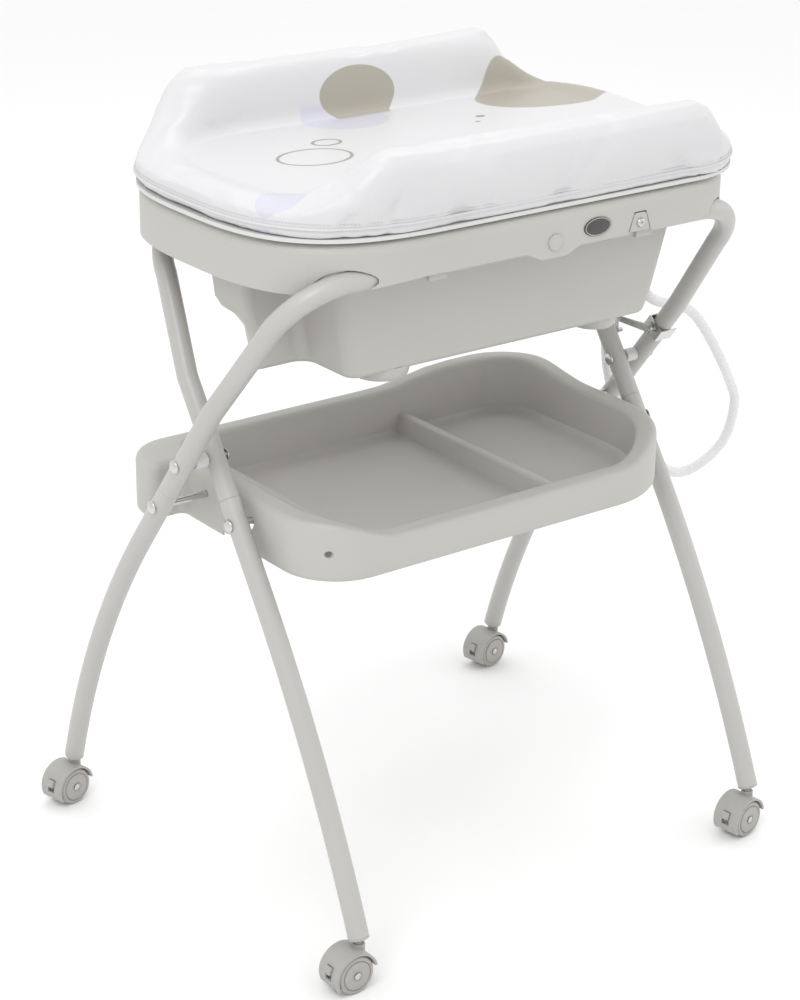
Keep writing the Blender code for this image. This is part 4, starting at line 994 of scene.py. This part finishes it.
def build_casters():
    """Four twin-wheel casters, each with plug, hood, axle, two wheels and a brake pedal."""
    for name, x, side, lean, heading, leg_body in CASTERS:
        node = "caster_" + name
        trail = Matrix.Rotation(heading, 3, "Z") @ Vector((-CASTER_TRAIL, 0, 0))
        hub = Vector((x, side * FOOT_Y, WHEEL_R)) + trail
        piece(name + "_plug", plug_mesh(x, side, lean), "shell_plastic", leg_body, [node + "_plug"])
        piece(name + "_hood", turned(hood_mesh(), heading, hub), "caster_plastic", name + "_swivel",
              [node + "_hood"], 0.0007)
        piece(name + "_axle", turned(axle_mesh(), heading, hub), "zinc_steel", name + "_swivel",
              [node + "_axle"])
        for word, sign in (("near", -1), ("far", 1)):
            piece(f"{name}_wheel_{word}", turned(wheel_mesh(sign), heading, hub), "caster_plastic",
                  f"{name}_wheel_{word}", [f"{node}_wheel_{word}"])
        tab = shell_sector(HOOD_R - HOOD_WALL + GAP, HOOD_R + 0.0035, BRAKE_START, BRAKE_END,
                           BRAKE_HALF_WIDTH, 8)
        piece(name + "_pedal", turned(tab, heading, hub), "caster_plastic", name + "_pedal",
              [node + "_brake"], 0.0010)


# ---- bath --------------------------------------------------------------------------------------
def egg(left, right, half_depth, corner, steps=28):
    """Plan outline with a blunt rounded end at the left and rounded corners at the right."""
    points = []
    for sign, start in ((-1, -90), (1, 0)):
        for k in range(steps // 2 + 1):
            a = math.radians(start + 90 * k / (steps // 2))
            x = right - corner + corner * math.cos(a)
            points.append(Vector((x, sign * (half_depth - corner) + corner * math.sin(a))))
    power = 2 / END_SQUARENESS
    for k in range(2 * steps + 1):
        a = math.radians(90 + 180 * k / (2 * steps))
        x = -END_START - (left - END_START) * abs(math.cos(a)) ** power
        points.append(Vector((x, math.copysign(half_depth * abs(math.sin(a)) ** power, math.sin(a)))))
    return points


def rim_outline(inset=0.0):
    return egg(RIM_LEFT - inset, RIM_RIGHT - inset, RIM_HALF_DEPTH - inset, RIM_CORNER - inset)


def rim_low(x, y):
    """Height of the apron's lower edge, which dips at the left end."""
    return RIM_LOW - RIM_DIP * ramp(-x, 0.15, 0.32)


def bowl_outline(t, inset=0.0):
    """Plan of the bowl, t from 0 at its bottom to 1 under the rim."""
    right = 0.236 + 0.038 * t - inset
    near = -(0.134 + 0.016 * t) + inset
    far = 0.146 - 0.066 * (1 - t) ** 2 - inset
    left = -(0.213 + 0.030 * t) + inset
    nose = -(0.282 + 0.026 * t) + inset
    nose_far = -(0.245 + 0.026 * t) - 0.037 * ramp(t, 0.20, 0.42) + inset
    low_y = -(0.046 + 0.006 * t) + inset
    high_y = 0.024 - inset

    def convex(radius):
        return max(radius - inset, 0.0015)

    return rounded([
        (right, near, convex(0.018)), (right, far, convex(0.030)), (left, far, convex(0.024)),
        (left, high_y, 0.008 + inset), (nose_far, high_y, convex(0.010)), (nose, low_y, convex(0.010)),
        (left, low_y, 0.014 + inset), (left, near, convex(0.020))], 8)


def bowl_loops(low, high, inset):
    """Loops of the bowl's wall from a rounded bottom edge up to a height."""
    edge = 0.010
    loops = []
    for k in range(6):
        a = math.radians(90 * k / 6)
        loops.append(at_height(bowl_outline(0.0, inset + edge * (1 - math.sin(a))),
                               low + edge * (1 - math.cos(a))))
    for k in range(2, 15):
        t = k / 14
        loops.append(at_height(bowl_outline(t, inset), BOWL_BOTTOM + t * (high - BOWL_BOTTOM)))
    return loops


def arm_clearance(half_width, side, lean):
    """A solid round a whole upper tube, wider by a working clearance."""
    return bent_tube(upper_path(half_width, side, lean), radius=TUBE_R + 0.0025, sides=24)


def rim_mesh():
    """The apron with its rolled edge, bulged where the cap sits and notched for the bracket."""
    edge = RIM_EDGE
    loops = [at_height(rim_outline(edge), RIM_TOP - RIM_WALL),
             at_height(rim_outline(RIM_WALL), RIM_TOP - edge - RIM_WALL),
             at_height(rim_outline(RIM_WALL), rim_low), at_height(rim_outline(0.0), rim_low)]
    for k in range(13):
        a = math.radians(90 * k / 12)
        loops.append(at_height(rim_outline(edge * (1 - math.cos(a))), RIM_TOP - edge + edge * math.sin(a)))
    bulge = prism(rounded([(-0.050, 0.004, 0.0004), (-0.018, -0.010, 0.012), (0.018, -0.010, 0.012),
                           (0.050, 0.004, 0.0004)], 6), "Y", -RIM_HALF_DEPTH, -RIM_HALF_DEPTH + RIM_WALL)
    bulge.transform(Matrix.Translation((RIM_CAP_X, 0, RIM_LOW)))
    notch = prism([(-0.018, -0.001), (0.018, -0.001), (0.009, 0.024), (-0.009, 0.024)], "Y",
                  -RIM_HALF_DEPTH - 0.01, -RIM_HALF_DEPTH + 0.008)
    notch.transform(Matrix.Translation((BRACKET_X, 0, RIM_LOW)))
    return loft(loops), bulge, notch


def bar_clips():
    """The clips that hold the near bar, the saddles for the far bar, and the grooves cut in them."""
    near_y = bar_y(-1, OUTER_LEAN)
    far_y = bar_y(1, INNER_LEAN)
    clips = []
    grooves = []
    top = RIM_TOP - 0.003
    for x in (-BAR_CLIP_X, BAR_CLIP_X):
        low = x - 0.012
        high = x + 0.012
        clips.append(box((low, near_y - 0.018, BAR_Z - 0.011), (high, near_y + 0.018, top)))
        grooves.append(rod(TUBE_R + GAP, x - 0.02, x + 0.02, "X", (0, near_y, BAR_Z), ROUND))
        grooves.append(box((x - 0.02, near_y - SNAP_HALF, BAR_Z - 0.02), (x + 0.02, near_y + SNAP_HALF,
                                                                          BAR_Z)))
        clips.append(box((low, far_y - 0.010, BAR_Z + TUBE_R + GAP), (high, far_y + 0.020, top)))
        clips.append(box((low, far_y + TUBE_R + 2 * GAP, BAR_Z - 0.006), (high, far_y + 0.020, top)))
    return clips, grooves


def build_bath():
    """The moulded bath: apron rim, stepped bowl, feet, clips, and the trim on its near apron."""
    rim, bulge, notch = rim_mesh()
    bowl = loft(bowl_loops(BOWL_BOTTOM, RIM_TOP - 0.002, 0.0))
    basin = loft(bowl_loops(BOWL_BOTTOM + BOWL_WALL, RIM_TOP + 0.01, BOWL_WALL))
    feet = [revolve([(0, 0), (r - 0.002, 0), (r, 0.002), (r + 0.003, 0.012), (r + 0.003, 0.016), (0, 0.016)], "Z",
                    (x, y, BOWL_BOTTOM - 0.012))
            for x, y, r in BOWL_FEET]
    clips, grooves = bar_clips()
    drain = rod(DRAIN_R + GAP, -0.01, 0.012, "Z", (DRAIN_X, DRAIN_Y, BOWL_BOTTOM), ROUND)
    shell = join(rim, bowl, bulge, *feet, *clips)
    shell = cut(shell, basin, notch, drain, *grooves,
                arm_clearance(OUTER_X, -1, OUTER_LEAN), arm_clearance(INNER_X, 1, INNER_LEAN))
    piece("bath_shell", shell, "shell_plastic", "bath", ["tub"], 0.0008)
    build_rim_trim()


def build_rim_trim():
    """Cover cap, plain oval badge, and the bracket with its cross-slotted screw."""
    face = -RIM_HALF_DEPTH - GAP
    cap = [(0, 0), (0.0095, 0), (0.0095, -0.0012), (0.0092, -0.0018), (0.0084, -0.0020), (0.0080, -0.0016),
           (0, -0.0016)]
    piece("apron_cap", revolve(cap, "Y", (RIM_CAP_X, face, RIM_LOW + 0.008)), "shell_plastic", "bath",
          ["rim_cap"])
    oval = revolve([(0, 0), (0.0130, 0), (0.0130, -0.0007), (0.0127, -0.0011), (0.0120, -0.0014), (0, -0.0014)], "Y")
    oval.transform(Matrix.Translation((BADGE_X, face, RIM_LOW + 0.0165)) @ Matrix.Diagonal((1.55, 1, 0.85, 1)))
    piece("plain_badge", oval, "badge_plastic", "bath", ["rim_badge"])
    lift = RIM_LOW + 0.001
    plate = prism(rounded([(-0.0155, 0, 0.001), (0.0155, 0, 0.001), (0.0085, 0.0215, 0.005), (-0.0085, 0.0215, 0.005)]),
                  "Y", -RIM_HALF_DEPTH - 0.0005, -RIM_HALF_DEPTH + RIM_WALL)
    plate.transform(Matrix.Translation((BRACKET_X, 0, lift)))
    at = (BRACKET_X, -RIM_HALF_DEPTH, lift + 0.010)
    plate = cut(plate, rod(0.0028 + GAP, -0.02, 0.02, "Y", at))
    piece("bar_clamp", plate, "shell_plastic", "bath", ["bar_bracket"], 0.0004)
    screw = revolve([(0, 0.004), (0.0028, 0.004), (0.0028, -0.0005 - GAP), (0.0055, -0.0005 - GAP),
                     (0.0054, -0.0016), (0.0046, -0.0030), (0.0030, -0.0035), (0, -0.0036)], "Y", at)
    deep = at[1] - 0.0022
    slots = [box((at[0] - w, deep - 0.003, at[2] - h), (at[0] + w, deep, at[2] + h))
             for w, h in ((0.0024, 0.0005), (0.0005, 0.0024))]
    piece("clamp_screw", cut(screw, *slots), "zinc_steel", "bath", ["bracket_screw"])


# ---- changing top ------------------------------------------------------------------------------
def pad_outline(inset=0.0):
    return egg(PAD_LEFT - inset, PAD_RIGHT - inset, PAD_HALF_DEPTH - inset, RIM_CORNER - inset)


def fade(x):
    """How much of the wing's height stands at this distance along the table: 1, falling to 0."""
    return 1 - ramp(abs(x), WING_FADE[0], WING_FADE[1])


def board_mesh():
    """The stiff board with the knuckles of its two hinges."""
    board = loft([at_height(pad_outline(0.012), z) for z in (BOARD_LOW, BOARD_TOP)])
    arm_top = BOARD_LOW + 0.0030
    parts = []
    tools = []
    for x in (-TOP_HINGE_X, TOP_HINGE_X):
        for side in (-1, 1):
            low, high = sorted((x + side * (LUG_HALF + GAP), x + side * (LUG_HALF + GAP + KNUCKLE)))
            parts.append(rod(HINGE_R, low, high, "X", (0, HINGE_Y, HINGE_Z), ROUND))
            parts.append(box((low, HINGE_Y - 0.030, BOARD_LOW), (high, HINGE_Y, arm_top)))
        reach = LUG_HALF + KNUCKLE + 0.002
        tools.append(rod(HINGE_PIN_R + GAP, x - reach, x + reach, "X", (0, HINGE_Y, HINGE_Z)))
        tools.append(box((x - LUG_HALF - GAP, HINGE_Y - 0.012, BOARD_LOW - 0.01),
                         (x + LUG_HALF + GAP, HINGE_Y + 0.01, BOARD_TOP + 0.01)))
    return cut(join(board, *parts), *tools)


def build_top():
    """The board under the pad, its hinge lugs on the bath and the pins through them."""
    piece("top_plate", board_mesh(), "board_plastic", "changing_top", ["top_board"], 0.0006)
    for hand, x in (("left", -TOP_HINGE_X), ("right", TOP_HINGE_X)):
        here = (x, HINGE_Y, HINGE_Z)
        end = LUG_HALF + KNUCKLE + 0.0005
        pin = [(0, -end), (HINGE_PIN_R - 0.0004, -end), (HINGE_PIN_R, -end + 0.0004), (HINGE_PIN_R, end - 0.0004),
               (HINGE_PIN_R - 0.0004, end), (0, end)]
        piece(f"hinge_rod_{hand}", revolve(pin, "X", here, SMALL_ROUND), "zinc_steel", "bath",
              [f"top_hinge_pin_{hand}"])
        foot = RIM_HALF_DEPTH + GAP
        lug = join(rod(HINGE_R, -LUG_HALF, LUG_HALF, "X", here, ROUND),
                   box((x - LUG_HALF, foot, HINGE_Z - 0.026), (x + LUG_HALF, foot + 0.0035,
                                                               HINGE_Z - 0.001)),
                   box((x - LUG_HALF, foot, HINGE_Z - 0.0048), (x + LUG_HALF, HINGE_Y, HINGE_Z - 0.0012)))
        lug = cut(lug, rod(HINGE_PIN_R + GAP, -0.01, 0.01, "X", here))
        piece(f"hinge_lug_{hand}", lug, "shell_plastic", "bath", [f"top_hinge_lug_{hand}"], 0.0006)


# ---- pad ---------------------------------------------------------------------------------------
PAD_SECTIONS = (
    (0.040, PAD_LOW, 0.0), (0.006, PAD_LOW, 0.0), (0.0, PAD_LOW + 0.005, 0.0), (0.0, PAD_FLOOR - 0.008, 0.0),
    (0.001, PAD_FLOOR + 0.003, 0.45), (0.006, PAD_FLOOR + 0.004, 0.80), (0.016, PAD_FLOOR + 0.005, 0.96),
    (0.028, PAD_FLOOR + 0.005, 0.935), (0.040, PAD_FLOOR + 0.004, 0.92),
    (0.050, PAD_FLOOR + 0.002, 0.60), (0.058, PAD_FLOOR, 0.15), (0.066, PAD_FLOOR, 0.0),
    (0.120, PAD_FLOOR + 0.001, 0.0))


def pad_shape(shrink):
    """The pad as one closed form with its two raised wings, drawn in by a small amount all round."""
    rise = WING_TOP - PAD_FLOOR
    base = pad_outline(0.0)
    loops = []
    for inset, height, share in PAD_SECTIONS:
        ring = pad_outline(inset + shrink)
        drop = shrink * ramp(height, PAD_LOW, PAD_FLOOR)
        loops.append([Vector((p.x, p.y, height - drop + (rise + math.copysign(WING_LEAN,
                                                                              q.y)) * share * fade(q.x)))
                      for p, q in zip(ring, base)])
    return loft(loops)


def puffed(mesh, voxel, pressure, most):
    """The mesh remeshed and blown up a little as cloth, with each point's travel capped."""
    obj = bpy.data.objects.new("cushion", mesh)
    bpy.context.scene.collection.objects.link(obj)
    remesh = obj.modifiers.new("even", "REMESH")
    remesh.mode = "VOXEL"
    remesh.voxel_size = voxel
    even = baked(obj, [obj])
    rest = [v.co.copy() for v in even.vertices]
    obj = bpy.data.objects.new("cushion", even)
    bpy.context.scene.collection.objects.link(obj)
    cloth = obj.modifiers.new("cloth", "CLOTH")
    cloth.settings.use_pressure = True
    cloth.settings.uniform_pressure_force = pressure
    cloth.settings.effector_weights.gravity = 0.0
    scene = bpy.context.scene
    for step in range(1, 21):
        scene.frame_set(step)
    blown = baked(obj, [obj])
    scene.frame_set(1)
    for vertex, start in zip(blown.vertices, rest):
        travel = vertex.co - start
        if travel.length > most:
            travel *= most / travel.length
        vertex.co = start + travel
        vertex.co.z = max(vertex.co.z, PAD_LOW)
    return blown


def seam_line(mesh, height, lift):
    """Points round the pad's side at one height, a little proud of its surface."""
    work = bmesh.new()
    work.from_mesh(mesh)
    surface = BVHTree.FromBMesh(work)
    points = []
    outline = pad_outline(-0.04)
    for p in outline:
        start = Vector((p.x, p.y, height))
        inwards = Vector((0.6 * p.x, 0.25 * p.y, height))
        hit, _, _, _ = surface.ray_cast(start, (inwards - start).normalized())
        if hit:
            points.append(hit + (start - inwards).normalized() * lift)
    work.free()
    return points


def build_pad(sizes):
    """The padded top: a puffed vinyl cushion with a welt and a row of stitches round its side."""
    cushion = puffed(pad_shape(sizes.pad_puff * 0.5), sizes.pad_voxel, 4.0, sizes.pad_puff)
    welt = seam_line(cushion, PAD_SEAM_Z, sizes.piping_radius * 0.35)
    seam = seam_line(cushion, PAD_SEAM_Z + 0.0055, 0.0002)
    pad = piece("cushion", cushion, "pad_vinyl", "changing_top", ["top_pad"])
    smooth = pad.modifiers.new("rounding", "SUBSURF")
    smooth.levels = 1
    smooth.render_levels = 1
    piece("cushion_welt", bent_tube(welt, True, sizes.piping_radius, 12, "pad_piping"), "pad_piping",
          "changing_top")
    threads = grow(stitch_tree, seam, True, Spacing=sizes.stitch_spacing, Length=sizes.stitch_spacing * 0.62,
                   Radius=0.0004, Material=material("seam_thread"))
    piece("cushion_stitches", threads, "seam_thread", "changing_top")


# ---- tray --------------------------------------------------------------------------------------
def tray_outline(inset=0.0):
    near = -TRAY_HALF_DEPTH + inset
    far = TRAY_HALF_DEPTH - inset
    right = TRAY_END_X - inset
    return rounded([
        (right, near, 0.130 - inset), (right, far, 0.085 - inset), (-TRAY_LOBE_X + inset, far,
                                                                    0.055 - inset),
        (-TRAY_LOBE_X + inset, 0.104 + inset, 0.012), (-right, 0.104 + inset, 0.010),
        (-right, near, 0.075 - inset)], TRAY_CORNER_STEPS, TRAY_SIDE_STEPS)


def tray_top(x, y):
    """Height of the tray's rim: low along the near side, high behind, with a hump at the far right."""
    lift = max(ramp(y, -0.13, 0.03), ramp(abs(x), 0.17, 0.27))
    hump = ramp(x, 0.04, 0.16) * ramp(y, 0.02, 0.14)
    return TRAY_NEAR_TOP + (TRAY_FAR_TOP - TRAY_NEAR_TOP) * lift + TRAY_HUMP * hump


def below_top(drop):
    return lambda x, y: tray_top(x, y) - drop


def basin_outline(inset):
    """Plan of the tray's sunk basin, with a corner for each corner of the tray's outline."""
    x = TRAY_END_X - 0.026 - inset
    y = TRAY_HALF_DEPTH - 0.026 - inset
    return rounded([
        (x, -y, 0.102 - inset), (x, y, 0.062 - inset), (-x - 0.006, y, 0.030 - inset),
        (-x - 0.006, 0.1245, 0.003), (-x, 0.1150, 0.003), (-x, -y, 0.050 - inset)],
        TRAY_CORNER_STEPS, TRAY_SIDE_STEPS)


def hook_slot():
    """Outline of the open slot that lets the tray ride off its hook bolts as the frame folds."""
    start = Vector((bolt_y(-1, INNER_LEAN), TRAY_BOLT_Z))
    pivot = Vector((0, PIVOT_Z))
    hinge = Vector((bolt_y(1, OUTER_LEAN), TRAY_BOLT_Z))
    route = []
    steps = 15
    for k in range(steps):
        fold = math.radians(35 * k / (steps - 1))
        world = pivot + Matrix.Rotation(fold, 2) @ (start - pivot)
        route.append(hinge + Matrix.Rotation(fold, 2) @ (world - hinge))
    half = BOLT_R + SLOT_CLEARANCE
    one_side = []
    other_side = []
    for k, point in enumerate(route):
        along = (route[min(k + 1, steps - 1)] - route[max(k - 1, 0)]).normalized()
        across = Vector((-along.y, along.x)) * half
        one_side.append(point + across)
        other_side.append(point - across)
    first = one_side[0] - route[0]
    cap = [route[0] + Matrix.Rotation(-math.radians(20 * k), 2) @ first for k in range(1, 9)]
    return one_side[::-1] + cap + other_side


def tray_mesh():
    """Moulded tray: skirt, wide rim, three compartments, hinge holes and hook slots."""
    low = TRAY_LOW
    floor = TRAY_FLOOR
    wall = TRAY_WALL
    inside = [(0.024, floor), (0.018, floor + 0.0006), (0.012, floor + 0.0025), (0.008, floor + 0.006),
              (0.002, below_top(0.006)), (0.0005, below_top(0.003)), (-0.002, below_top(0.0008)), (-0.005, below_top(0.0))]
    skirt = [(0.010, below_top(0.0)), (0.006, below_top(0.0006)), (0.003, below_top(0.0028)), (0.001, below_top(0.006)),
             (0.0, below_top(0.010)), (0.0, low + 0.006), (0.0006, low + 0.002), (0.002, low),
             (wall + 0.001, low),
             (wall, low + 0.004), (wall, below_top(0.013)), (0.010, below_top(wall + 0.001))]
    below = [(-0.007, below_top(wall + 0.0015)), (-0.002, below_top(0.010)), (0.004, floor + 0.003),
             (0.014, floor - wall)]
    shell = loft([at_height(basin_outline(i), z) for i, z in inside]
                 + [at_height(tray_outline(i), z) for i, z in skirt]
                 + [at_height(basin_outline(i), z) for i, z in below])
    ribs = []
    for x in DIVIDERS:
        outline = rounded([(x - 0.012, floor - 0.001, 0.0005), (x + 0.012, floor - 0.001, 0.0005),
                           (x + 0.006, DIVIDER_TOP, 0.0045), (x - 0.006, DIVIDER_TOP, 0.0045)], 6)
        depth = TRAY_HALF_DEPTH - 0.031
        ribs.append(prism(outline, "Y", -depth, depth))
    shell = join(shell, *ribs)
    inner_x = TRAY_END_X - 0.012
    outer_x = TRAY_END_X + 0.010
    bolt = (0, bolt_y(1, OUTER_LEAN), TRAY_BOLT_Z)
    tools = []
    for side in (-1, 1):
        tools.append(prism(hook_slot(), "X", *sorted((side * inner_x, side * outer_x))))
        tools.append(rod(BOLT_R + GAP, *sorted((side * inner_x, side * outer_x)), "X", bolt))
    tools.append(rod(0.0042, -0.02, 0.02, "Y", (-0.262, -TRAY_HALF_DEPTH + 0.006, 0.483)))
    return cut(shell, *tools)


def build_tray():
    """The storage tray under the bath."""
    piece("tray_shell", tray_mesh(), "shell_plastic", "storage_tray", ["tray"])


# ---- latch -------------------------------------------------------------------------------------
def build_latch():
    """Zinc finish for the safety hook and what it hangs on and catches."""
    dress("zinc_steel", "latch_channel", "latch_pin", "latch_hook", "latch_catch")


# ---- add-on ------------------------------------------------------------------------------------
class TableSizes(bpy.types.PropertyGroup):
    """Sizes and light that a user would change."""

    hose_diameter: FloatProperty(
        name="Hose diameter", description="Outside diameter of the drain hose", default=2 * HOSE_R,
        unit="LENGTH")
    piping_radius: FloatProperty(
        name="Piping radius", description="Radius of the welt round the pad", default=0.0018, unit="LENGTH")
    stitch_spacing: FloatProperty(
        name="Stitch spacing", description="From one stitch to the next", default=0.0042, unit="LENGTH")
    pad_puff: FloatProperty(
        name="Pad puff", description="The furthest that the pad's cover may swell", default=0.008,
        unit="LENGTH")
    pad_voxel: FloatProperty(
        name="Pad voxel", description="Cell size of the pad before it is blown up", default=0.006,
        unit="LENGTH")
    key_power: FloatProperty(
        name="Key light", description="Power of the main light", default=30.0, unit="POWER")
    surround: FloatProperty(
        name="Surroundings", description="Brightness of the pale surroundings", default=1.02)


class TableColours(bpy.types.PropertyGroup):
    """Colours of the table's finishes."""

    paint: FloatVectorProperty(
        name="Paint", description="Powder coat of the tubes", default=(0.45, 0.44, 0.42), subtype="COLOR")
    shell: FloatVectorProperty(
        name="Shell", description="Bath and tray plastic", default=(0.46, 0.448, 0.420), subtype="COLOR")
    caster: FloatVectorProperty(
        name="Casters", description="Wheels, hoods and pedals", default=(0.38, 0.368, 0.348),
        subtype="COLOR")
    zinc: FloatVectorProperty(
        name="Zinc", description="Bolts, pins and hook", default=(0.62, 0.62, 0.61), subtype="COLOR")
    vinyl: FloatVectorProperty(
        name="Vinyl", description="Pad cover", default=(0.61, 0.61, 0.62), subtype="COLOR")
    print_warm: FloatVectorProperty(
        name="Warm print", description="Plain shapes in a warm grey", default=(0.36, 0.335, 0.28),
        subtype="COLOR")
    print_cool: FloatVectorProperty(
        name="Cool print", description="Plain shapes in a pale violet", default=(0.54, 0.54, 0.63),
        subtype="COLOR")
    board: FloatVectorProperty(
        name="Board", description="Board under the pad and the spacers", default=(0.62, 0.62, 0.61),
        subtype="COLOR")
    hose: FloatVectorProperty(
        name="Hose", description="Drain hose", default=(0.80, 0.81, 0.82), subtype="COLOR")
    badge: FloatVectorProperty(
        name="Badge", description="Plain oval on the apron", default=(0.06, 0.058, 0.055), subtype="COLOR")
    floor: FloatVectorProperty(
        name="Floor", description="Studio floor", default=(0.92, 0.92, 0.92), subtype="COLOR")


class TABLE_OT_stage(bpy.types.Operator):
    """Lay the floor and set the lights and the camera"""

    bl_idname = "table.stage"
    bl_label = "Stage"

    def execute(self, context):
        build_stage(context.scene.table_sizes)
        return {"FINISHED"}


class TABLE_OT_drain(bpy.types.Operator):
    """Build the drain hose, its spigot, stopper and cup"""

    bl_idname = "table.drain"
    bl_label = "Drain"

    def execute(self, context):
        build_drain(context.scene.table_sizes)
        return {"FINISHED"}


class TABLE_OT_frames(bpy.types.Operator):
    """Build the crossed tubes, legs, bolts and spacers"""

    bl_idname = "table.frames"
    bl_label = "Frames"

    def execute(self, context):
        build_frames()
        return {"FINISHED"}


class TABLE_OT_casters(bpy.types.Operator):
    """Build the four casters"""

    bl_idname = "table.casters"
    bl_label = "Casters"

    def execute(self, context):
        build_casters()
        return {"FINISHED"}


class TABLE_OT_bath(bpy.types.Operator):
    """Build the bath and the trim on its apron"""

    bl_idname = "table.bath"
    bl_label = "Bath"

    def execute(self, context):
        build_bath()
        return {"FINISHED"}


class TABLE_OT_top(bpy.types.Operator):
    """Build the board and its hinges"""

    bl_idname = "table.top"
    bl_label = "Changing board"

    def execute(self, context):
        build_top()
        return {"FINISHED"}


class TABLE_OT_pad(bpy.types.Operator):
    """Build the padded top with its welt and stitches"""

    bl_idname = "table.pad"
    bl_label = "Pad"

    def execute(self, context):
        build_pad(context.scene.table_sizes)
        return {"FINISHED"}


class TABLE_OT_tray(bpy.types.Operator):
    """Build the storage tray"""

    bl_idname = "table.tray"
    bl_label = "Tray"

    def execute(self, context):
        build_tray()
        return {"FINISHED"}


class TABLE_OT_latch(bpy.types.Operator):
    """Finish the safety hook"""

    bl_idname = "table.latch"
    bl_label = "Safety hook"

    def execute(self, context):
        build_latch()
        return {"FINISHED"}


class TABLE_PT_panel(bpy.types.Panel):
    """Lists the steps that build the table"""

    bl_label = "Changing Table"
    bl_space_type = "VIEW_3D"
    bl_region_type = "UI"
    bl_category = "Changing Table"

    def draw(self, context):
        for step in STEPS:
            self.layout.operator(step.bl_idname)
        for group in (context.scene.table_sizes, context.scene.table_colours):
            for name in group.__annotations__:
                self.layout.prop(group, name)


STEPS = (TABLE_OT_stage, TABLE_OT_drain, TABLE_OT_frames, TABLE_OT_casters, TABLE_OT_bath, TABLE_OT_top,
         TABLE_OT_pad, TABLE_OT_tray, TABLE_OT_latch)
CLASSES = (TableSizes, TableColours, *STEPS, TABLE_PT_panel)


def register():
    for made in CLASSES:
        bpy.utils.register_class(made)
    bpy.types.Scene.table_sizes = PointerProperty(type=TableSizes)
    bpy.types.Scene.table_colours = PointerProperty(type=TableColours)


def unregister():
    del bpy.types.Scene.table_colours
    del bpy.types.Scene.table_sizes
    for made in reversed(CLASSES):
        bpy.utils.unregister_class(made)


def main():
    register()
    for step in STEPS:
        getattr(bpy.ops.table, step.bl_idname.split(".")[1])()


if __name__ == "__main__":
    main()
